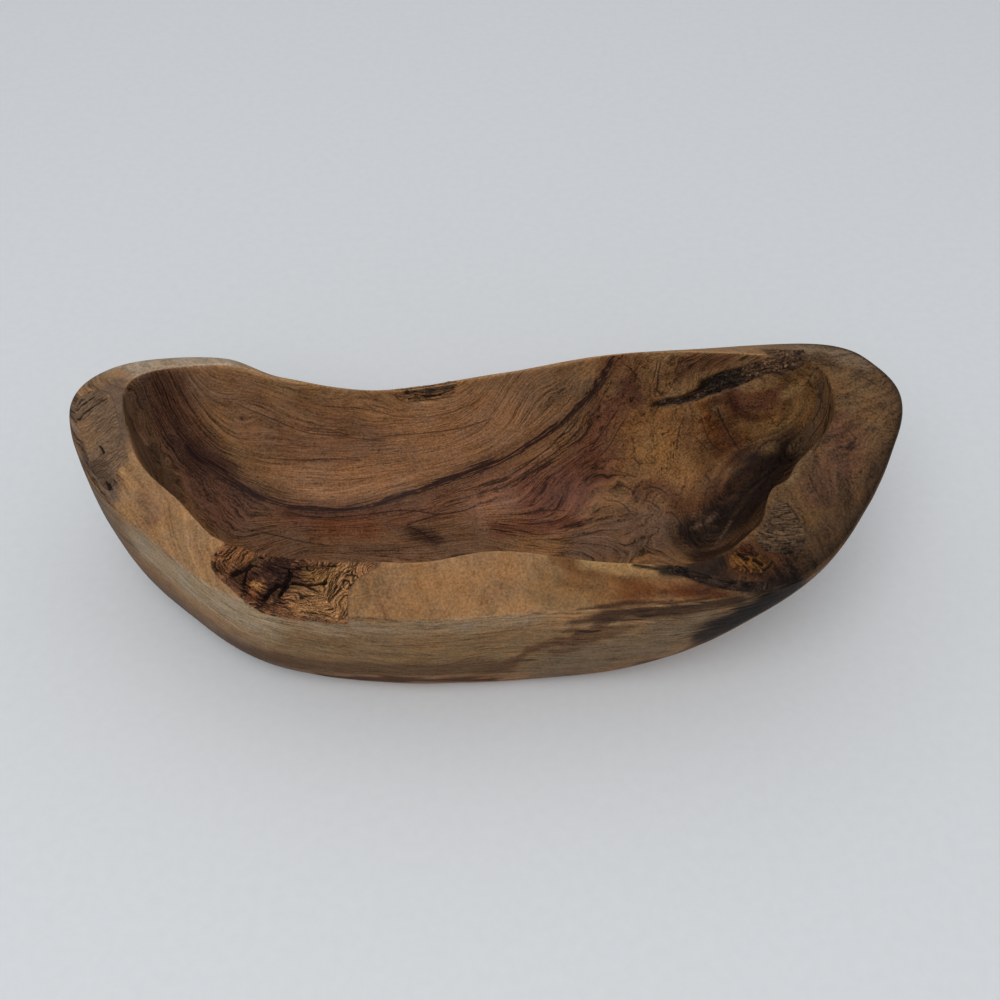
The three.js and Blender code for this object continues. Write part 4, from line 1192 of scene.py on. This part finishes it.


# Bark and knots: the piece's name and slot, how much shade is painted into its furrows, how far it rises
# or sinks, its lumps (size and height), its fibres (length, width and height), its grit (size and height)
# and its crumbs (how many on a square mm, smallest and largest), all in mm, the edge that its fibres
# follow, its crevices (half width, depth and line) and its brush strokes
BARK = {
    "front_bark": dict(
        piece="fibrous_front_bark", slot="rim_bark", shade=0.9, rise=0.0, lump=(5.0, 0.9),
        fibre=(7, 0.5, 0.5), grit=(1.0, 0.45), crumbs=(0.08, 0.2, 0.45),
        edge=[(237, 541), (217, 556), (214, 566), (218, 578), (226, 588), (245, 598), (270, 608),
              (300, 615), (340, 618), (346, 600), (354, 586), (366, 573), (378, 564)],
        crevices=[
            (1.0, 1.8, [(260, 557), (253, 565), (241, 571), (232, 575)]),
            (0.7, 1.5, [(290, 572), (286, 583), (273, 590), (264, 600)]),
            (0.5, 1.2, [(290, 570), (312, 567), (335, 566)]),
            (0.5, 1.3, [(326, 583), (308, 585), (290, 584), (280, 595)]),
            (0.45, 1.1, [(246, 572), (243, 584)]),
        ],
        strokes=[
            ("dark middle", 4.5, 0.7, "#44291f", 0.85, [(236, 580), (252, 574), (276, 572), (300, 574)]),
            ("dark lump", 3.5, 0.7, "#36211a", 0.9, [(272, 566), (284, 566), (280, 582)]),
            ("dark low lump", 3, 0.6, "#3a2519", 0.8, [(262, 600), (274, 592)]),
            ("orange left lobe", 4, 0.6, "#8a5c36", 0.7, [(222, 560), (236, 552), (248, 556)]),
            ("red lump", 2.5, 0.7, "#774629", 0.8, [(248, 590), (256, 594)]),
            ("orange chip", 1.0, 0.6, "#b5824a", 0.9, [(254, 584), (260, 586)]),
            ("tan right part", 6, 0.6, "#a87c4f", 0.75, [(345, 575), (330, 592), (310, 602), (335, 608)]),
            ("gold patch", 3, 0.6, "#9a6f3e", 0.7, [(312, 575), (325, 577)]),
        ]),
    "left_end_bark": dict(
        piece="weathered_end_bark", slot="weathered_bark", shade=0.45, rise=-0.1, lump=(9, 0.3),
        fibre=(5, 0.5, 0.16), grit=(1.0, 0.22), crumbs=(0.03, 0.2, 0.4),
        edge=[(72, 425), (104, 400), (118, 388)],
        crevices=[
            (0.45, 0.7, [(72, 428), (84, 413), (96, 404), (106, 398)]),
            (0.35, 0.5, [(72, 417), (82, 405), (94, 396)]),
            (0.3, 0.5, [(74, 410), (82, 399)]),
            (0.4, 0.6, [(100, 446), (104, 453)]),
            (0.35, 0.6, [(128, 452), (131, 464)]),
            (0.5, 0.7, [(106, 482), (113, 492)]),
        ],
        strokes=[
            ("golden patch", 4.5, 0.6, "#8d6b4c", 0.8, [(80, 428), (86, 438), (84, 448)]),
            ("dark low end", 4, 0.6, "#4c3a30", 0.7, [(96, 470), (106, 484), (114, 494)]),
        ]),
    "back_rim_bark": dict(
        piece="back_rim_bark_sliver", slot="ingrown_bark", shade=0.5, rise=-0.2, lump=(4, 0.4),
        fibre=(10, 0.7, 0.3), grit=(1.2, 0.2), crumbs=(0.05, 0.2, 0.4),
        edge=[(400, 392), (440, 390), (466, 386)],
        crevices=[(0.45, 0.6, [(402, 393), (425, 397), (441, 395), (453, 389), (462, 385)])],
        strokes=[
            ("wood under the sliver", 14, 0.2, "#8a6342", 1.0, [(398, 396), (430, 396), (464, 388)]),
            ("dark sliver", 1.8, 0.4, "#5a4a39", 0.95, [(406, 390), (430, 390), (446, 388), (458, 383)]),
        ]),
    "right_bark_seam": dict(
        piece="dark_bark_seam", slot="ingrown_bark", shade=0.6, rise=-0.4, lump=(3, 0.8),
        fibre=(6, 0.8, 0.4), grit=(1.0, 0.4), crumbs=(1.0, 0.25, 0.8),
        edge=[(655, 568), (700, 575), (740, 584), (795, 580)],
        crevices=[],
        strokes=[("brown crumbs", 1.5, 0.6, "#4a3526", 0.6, [(696, 570), (716, 577), (736, 582)])]),
    "inner_bark_pocket": dict(
        piece="crumbling_bark_pocket", slot="ingrown_bark", shade=0.3, rise=-0.3, lump=(3, 0.9),
        fibre=(6, 0.8, 0.35), grit=(1.0, 0.4), crumbs=(1.0, 0.25, 0.9),
        edge=[(655, 405), (712, 380), (795, 358)],
        crevices=[],
        strokes=[
            ("brown tail", 4, 0.6, "#4a382c", 0.8, [(660, 402), (676, 399), (694, 394)]),
            ("black middle", 4, 0.5, "#30261f", 0.9, [(712, 384), (724, 379), (736, 376)]),
            ("brown crumbs", 5, 0.6, "#634a36", 0.95, [(752, 367), (772, 362), (788, 358)]),
        ]),
    "rim_knot": dict(
        piece="sawn_branch_knot", slot="knot_wood", shade=0.35, rise=0.0, lump=(8, 0.15),
        fibre=(9, 0.7, 0.12), grit=(1.0, 0.06), crumbs=(0.0, 0.2, 0.4),
        edge=[(755, 545), (780, 548), (806, 545)],
        crevices=[],
        strokes=[("dark low side", 2.5, 0.6, "#2b1e17", 0.7, [(784, 552), (796, 550), (801, 544)])]),
    "knot_bark": dict(
        piece="rough_knot_bark", slot="knot_bark", shade=0.8, rise=0.1, lump=(4.5, 0.7),
        fibre=(5, 0.8, 0.4), grit=(1.1, 0.35), crumbs=(0.4, 0.25, 0.6),
        edge=[(735, 546), (748, 548), (764, 560)],
        crevices=[(0.6, 1.0, [(754, 560), (761, 564)]), (0.5, 0.8, [(738, 555), (748, 559)])],
        strokes=[
            ("red top", 2, 0.6, "#5c2f18", 0.8, [(738, 550), (744, 548), (749, 551)]),
            ("gold fibres", 2, 0.6, "#7a5022", 0.7, [(737, 559), (746, 562), (757, 564)]),
        ]),
}
# How far bark may rise, in mm, and how dark the shade painted into its furrows and crevices is at most
BARK_RISE = 1.8
DEEPEST_SHADE = 0.95
CREVICE_SOFTNESS = 0.4
# How fibres bend: how far and over which length, in mm, and the seed
BENDS = ((1.6, 4.5, 3.7), (0.5, 1.6, 6.4))
RIDGE_SEED, LUMP_SEED, GRIT_SEED = 1.3, 8.1, 5.9
RAGGED_SIZE, RAGGED_SEED = 1.6, 2.9
# Heights of ridges and lumps between which shade is painted into them, and between which lumps carry crumbs
FURROWS, HOLLOWS, HOLLOW_SHADE = (-0.2, 0.6), (0.1, 0.7), 0.5
CRUMBLY = (-0.4, 0.3)
# Distances from the walls of a seat between which relief may sink
CLEAR_FROM, CLEAR_FULL = 0.3 * MM, 1.8 * MM
MERGE = 0.001 * MM
# Crumbs: their seed, their proportions, how far they turn and how bright they are
CRUMB_SEED = 11
CRUMB_SHAPE = (1.0, 0.7, 0.5)
CRUMB_TURN = (6.28, 6.28, 6.28)
CRUMB_DIM, CRUMB_BRIGHT = 0.7, 1.9


def fine_copy(node, grain):
    """Points, normals and quads of a fine closed copy of a CAD solid."""
    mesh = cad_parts[node].data.copy()
    shell = bmesh.new()
    shell.from_mesh(mesh)
    bmesh.ops.remove_doubles(shell, verts=shell.verts, dist=MERGE)
    shell.to_mesh(mesh)
    shell.free()
    body = bpy.data.objects.new("fine copy", mesh)
    bpy.context.scene.collection.objects.link(body)
    remesh = body.modifiers.new("facets", "REMESH")
    remesh.mode = "VOXEL"
    remesh.voxel_size = grain
    depsgraph = bpy.context.evaluated_depsgraph_get()
    fine = bpy.data.meshes.new_from_object(body.evaluated_get(depsgraph))
    points = np.array([v.co for v in fine.vertices])
    normals = np.array([v.normal for v in fine.vertices])
    quads = [tuple(p.vertices) for p in fine.polygons]
    bpy.data.objects.remove(body)
    return points, normals, quads


def crumbs_tree():
    """Geometry nodes that strew crumbs over the open face of a bark piece."""
    tree = bpy.data.node_groups.new("bark crumbs", "GeometryNodeTree")
    for name, kind in (("Bark", "Geometry"), ("Crumbs per square metre", "Float"),
                       ("Smallest", "Float"), ("Largest", "Float"), ("Seed", "Int"),
                       ("Material", "Material")):
        tree.interface.new_socket(name, in_out="INPUT", socket_type="NodeSocket" + kind)
    tree.interface.new_socket("Bark", in_out="OUTPUT", socket_type="NodeSocketGeometry")
    node = functools.partial(add_node, tree)
    given = node("NodeGroupInput", (), None).outputs
    share = node("GeometryNodeInputNamedAttribute", {"Name": "crumbly"}, data_type="FLOAT")
    density = node("Math", (share, given["Crumbs per square metre"]), operation="MULTIPLY")
    points = node("GeometryNodeDistributePointsOnFaces",
                  {"Mesh": given["Bark"], "Density": density, "Seed": given["Seed"]})
    crumb = node("GeometryNodeMeshIcoSphere", {"Radius": 1.0, "Subdivisions": 1})
    size = node("FunctionNodeRandomValue", {2: given["Smallest"], 3: given["Largest"],
                                            "Seed": given["Seed"]}, 1, data_type="FLOAT")
    flat = node("VectorMath", {0: CRUMB_SHAPE, "Scale": size}, operation="SCALE")
    turn = node("FunctionNodeRandomValue", {0: (0.0, 0.0, 0.0), 1: CRUMB_TURN,
                                            "Seed": given["Seed"]}, data_type="FLOAT_VECTOR")
    strewn = node("GeometryNodeInstanceOnPoints", {"Points": points, "Instance": crumb,
                                                   "Rotation": turn, "Scale": flat})
    tint = node("GeometryNodeInputNamedAttribute", {"Name": "tint"}, data_type="FLOAT_COLOR")
    bright = node("FunctionNodeRandomValue", {2: CRUMB_DIM, 3: CRUMB_BRIGHT, "Seed": given["Seed"]}, 1,
                  data_type="FLOAT")
    tint = node("VectorMath", {0: tint, "Scale": bright}, operation="SCALE")
    strewn = node("GeometryNodeStoreNamedAttribute",
                  {"Geometry": strewn, "Name": "tint", "Value": tint}, data_type="FLOAT_COLOR",
                  domain="INSTANCE")
    strewn = node("GeometryNodeRealizeInstances", (strewn,))
    joined = node("GeometryNodeJoinGeometry", (strewn,), None)
    tree.links.new(given["Bark"], joined.inputs[0])
    finished = node("GeometryNodeSetMaterial", {"Geometry": joined.outputs[0],
                                                "Material": given["Material"]})
    node("NodeGroupOutput", (finished,), None)
    return tree


def strew_crumbs(per_square_mm, smallest, largest, piece):
    """Add crumbs of a few sizes in mm to a bark piece as plain mesh."""
    tree = bpy.data.node_groups.get("bark crumbs") or crumbs_tree()
    modifier = piece.modifiers.new("crumbs", "NODES")
    modifier.node_group = tree
    values = {"Crumbs per square metre": per_square_mm / MM**2, "Smallest": smallest * MM,
              "Largest": largest * MM, "Seed": CRUMB_SEED, "Material": piece.data.materials[0]}
    for item in tree.interface.items_tree:
        if item.in_out == "INPUT" and item.name in values:
            modifier[item.identifier] = values[item.name]
    depsgraph = bpy.context.evaluated_depsgraph_get()
    mesh = bpy.data.meshes.new_from_object(piece.evaluated_get(depsgraph))
    piece.modifiers.remove(modifier)
    piece.data = mesh


def fill_seat(points, normals, body):
    """Move the sides of a bark piece out to the walls of its seat; also tells how open it lies, and
    how clear of its walls."""
    grown = points.copy()
    open_face, clear = np.ones((2, len(points)))
    for k, (point, normal) in enumerate(zip(points, normals)):
        wall, _, _, gap = body.find_nearest(Vector(point))
        clear[k] = gap
        if gap < SEAT_GAP:
            facing = max(Vector(normal).dot((wall - Vector(point)).normalized()), 0.0)
            grown[k] += normal * facing**2 * SEAT_GAP
            open_face[k] = 1 - min(2 * facing, 1)
    return grown, open_face, ease(clear, CLEAR_FROM, CLEAR_FULL)


def rough(places, seed):
    """Smooth roughness between about -1 and 1, over a length of 1."""
    return np.array([noise.noise(Vector(p) + Vector((seed, seed, seed))) for p in places])


def lay_bark(context, node, material, base):
    """Model a bark piece or knot on the CAD solid that it fills, with its relief, its colours and the shade
    painted into its furrows and crevices.
    """
    sizes, _, view = settings_of(context)
    spec = BARK[node]
    points, normals, quads = fine_copy(node, sizes.bark_grain)
    cast = functools.partial(view.cast, BVHTree.FromPolygons(points.tolist(), quads))
    in_mm = points / MM
    across, along = path_place(in_mm, cast(spec["edge"]))

    lump_size, lump = spec["lump"]
    fibre_length, fibre_width, fibre = spec["fibre"]
    grit_size, grit = spec["grit"]
    bend = sum(far * rough(in_mm / length, seed) for far, length, seed in BENDS)
    strands = np.column_stack([along / fibre_length, (across + bend) / fibre_width, 0 * along])
    ridges = 0.5 - 2 * np.abs(rough(strands, RIDGE_SEED))
    lumps = rough(in_mm / lump_size, LUMP_SEED)
    relief = lump * lumps + fibre * ridges + grit * rough(in_mm / grit_size, GRIT_SEED)
    # painted shade in the furrows between ridges and in the hollows between lumps
    dark = spec["shade"] * (ease(-ridges, *FURROWS) + HOLLOW_SHADE * ease(-lumps, *HOLLOWS))
    ragged = rough(in_mm / RAGGED_SIZE, RAGGED_SEED)
    # crevices are cut into the relief, and shade is painted into them
    for half_width, depth, pixels in spec["crevices"]:
        crack = brush_mask(in_mm, cast(pixels), half_width, CREVICE_SOFTNESS, ragged)
        relief = relief - depth * crack
        dark = np.maximum(dark, DEEPEST_SHADE * crack)
    grown, open_face, clear = fill_seat(points, normals, search_tree("bowl_body"))
    relief = np.where(relief < 0, relief * clear, relief)
    height = np.minimum(spec["rise"] + relief, BARK_RISE) * MM
    shaped = grown + normals * height[:, None]
    base_tint = np.tile(np.array(base), (len(points), 1))
    tint = painted(in_mm, base_tint, spec["strokes"], cast, ragged)
    new_piece(spec["piece"], shaped.tolist(), quads, material, node, spec["slot"],
              functools.partial(strew_crumbs, *spec["crumbs"]), tint=tint,
              dark=np.minimum(dark, DEEPEST_SHADE), fibre_along=along, fibre_across=across,
              crumbly=open_face * ease(lumps, *CRUMBLY))


class DOUGHBOWL_OT_lay_rim_bark(bpy.types.Operator):
    """Lay the bark on the front rim and on the left end"""
    bl_idname = "doughbowl.lay_rim_bark"
    bl_label = "Lay Rim Bark"

    def execute(self, context):
        colours = context.scene.wood_colours
        lay_bark(context, "front_bark", bark_material("dry fibrous bark"), colours.rim_bark)
        lay_bark(context, "left_end_bark", bark_material("weathered grey bark"), colours.weathered_bark)
        return {"FINISHED"}


class DOUGHBOWL_OT_fill_crevices(bpy.types.Operator):
    """Fill the crevices of the rim and the hollow with ingrown bark"""
    bl_idname = "doughbowl.fill_crevices"
    bl_label = "Fill Crevices"

    def execute(self, context):
        ingrown = bark_material("crumbling ingrown bark")
        for node in ("back_rim_bark", "right_bark_seam", "inner_bark_pocket"):
            lay_bark(context, node, ingrown, context.scene.wood_colours.ingrown_bark)
        return {"FINISHED"}


class DOUGHBOWL_OT_set_knots(bpy.types.Operator):
    """Set the sawn branch knot and the rough knot beside it"""
    bl_idname = "doughbowl.set_knots"
    bl_label = "Set Knots"

    def execute(self, context):
        colours = context.scene.wood_colours
        lay_bark(context, "rim_knot", bark_material("sawn end grain"), colours.knot_wood)
        lay_bark(context, "knot_bark", bark_material("rough knot bark"), colours.knot_bark)
        return {"FINISHED"}


# Stage, in metres: half the floor's side, the key light's width and place, and the flecks of the
# paper with their darkest and lightest shade; the sky's colour, and the backdrop's colour and strength
FLOOR_HALF = 20.0
KEY_SIZE = 0.9
KEY_PLACE = (-0.15, -0.55, 1.05)
PAPER_FLECK = 4 * MM
PAPER_DARK, PAPER_LIGHT = 0.97, 1.03
PAPER_ROUGHNESS, PAPER_SPECULAR = 0.9, 0.2
SKY_COLOUR = "#fbfcff"
BACKDROP_COLOUR = "#f6faff"
BACKDROP = 0.5


class DOUGHBOWL_OT_set_stage(bpy.types.Operator):
    """Set the pale floor, the soft light and the camera"""
    bl_idname = "doughbowl.set_stage"
    bl_label = "Set Stage"

    def execute(self, context):
        scene = context.scene
        stage = scene.bowl_stage
        # pale paper, matt and faintly flecked
        paper, node = blank_material("matt pale paper")
        point = node("TexCoord", (), 3)
        flecks = node("TexNoise", {"Vector": point, "Scale": 1 / PAPER_FLECK, "Detail": 2.0})
        shade = node("MapRange", {0: flecks, 3: PAPER_DARK, 4: PAPER_LIGHT})
        colour = node("VectorMath", {0: stage.floor_colour, "Scale": shade}, operation="SCALE")
        surface = node("BsdfPrincipled", {"Base Color": colour, "Roughness": PAPER_ROUGHNESS,
                                          "Specular IOR Level": PAPER_SPECULAR})
        node("OutputMaterial", {"Surface": surface}, None)
        mesh = bpy.data.meshes.new("floor")
        half = FLOOR_HALF
        mesh.from_pydata([(-half, -half, 0), (half, -half, 0), (half, half, 0), (-half, half, 0)], [],
                         [(0, 1, 2, 3)])
        mesh.materials.append(paper)
        floor = bpy.data.objects.new("floor", mesh)
        scene.collection.objects.link(floor)

        key = bpy.data.lights.new("key", "AREA")
        key.shape = "DISK"
        key.size = KEY_SIZE
        key.energy = stage.key_power
        lamp = bpy.data.objects.new("key", key)
        lamp.location = KEY_PLACE
        aim = Vector(stage.camera_target) - lamp.location
        lamp.rotation_euler = aim.to_track_quat("-Z", "Y").to_euler()
        scene.collection.objects.link(lamp)

        world = bpy.data.worlds.new("studio")
        scene.world = world
        world.use_nodes = True
        world.node_tree.nodes.clear()
        node = functools.partial(add_node, world.node_tree)
        rays = node("LightPath", (), None).outputs
        seen = node("Math", (rays["Is Camera Ray"], rays["Is Glossy Ray"]), operation="MAXIMUM")
        seen = node("Math", (seen, rays["Is Transmission Ray"]), operation="MAXIMUM")
        strength = node("MapRange", {0: seen, 3: stage.sky_strength, 4: BACKDROP})
        shade = node("Mix", {0: seen, 6: rgba(linear(SKY_COLOUR)), 7: rgba(linear(BACKDROP_COLOUR))}, 2,
                     data_type="RGBA")
        sky = node("Background", {"Color": shade, "Strength": strength})
        node("OutputWorld", {"Surface": sky}, None)
        scene.view_settings.view_transform = "Standard"

        camera = bpy.data.objects.new("camera", bpy.data.cameras.new("camera"))
        camera.data.sensor_width = SENSOR
        camera.data.lens = stage.lens
        camera.location = PhotoView(stage).eye
        camera.rotation_euler = (math.pi / 2 - stage.camera_elevation, 0, 0)
        scene.collection.objects.link(camera)
        scene.camera = camera
        return {"FINISHED"}


class DOUGHBOWL_PT_panel(bpy.types.Panel):
    """Sizes, colours and steps of the dough bowl"""
    bl_label = "Dough Bowl"
    bl_idname = "DOUGHBOWL_PT_panel"
    bl_space_type = "VIEW_3D"
    bl_region_type = "UI"
    bl_category = "Dough Bowl"

    def draw(self, context):
        for group, kind in GROUPS.items():
            column = self.layout.column(align=True)
            for name in kind.__annotations__:
                column.prop(getattr(context.scene, group), name)
        for step in STEPS:
            self.layout.operator(step.bl_idname)


STEPS = (DOUGHBOWL_OT_carve_body, DOUGHBOWL_OT_lay_rim_bark, DOUGHBOWL_OT_fill_crevices,
         DOUGHBOWL_OT_set_knots, DOUGHBOWL_OT_set_stage)
GROUPS = {"bowl_sizes": BowlSizes, "wood_colours": WoodColours, "bowl_stage": StageSettings}
CLASSES = (*GROUPS.values(), *STEPS, DOUGHBOWL_PT_panel)


def register():
    for cls in CLASSES:
        bpy.utils.register_class(cls)
    for name, group in GROUPS.items():
        setattr(bpy.types.Scene, name, bpy.props.PointerProperty(type=group))


def unregister():
    for name in GROUPS:
        delattr(bpy.types.Scene, name)
    for cls in reversed(CLASSES):
        bpy.utils.unregister_class(cls)


def main():
    register()
    bpy.ops.doughbowl.carve_body()
    bpy.ops.doughbowl.lay_rim_bark()
    bpy.ops.doughbowl.fill_crevices()
    bpy.ops.doughbowl.set_knots()
    bpy.ops.doughbowl.set_stage()


if __name__ == "__main__":
    main()
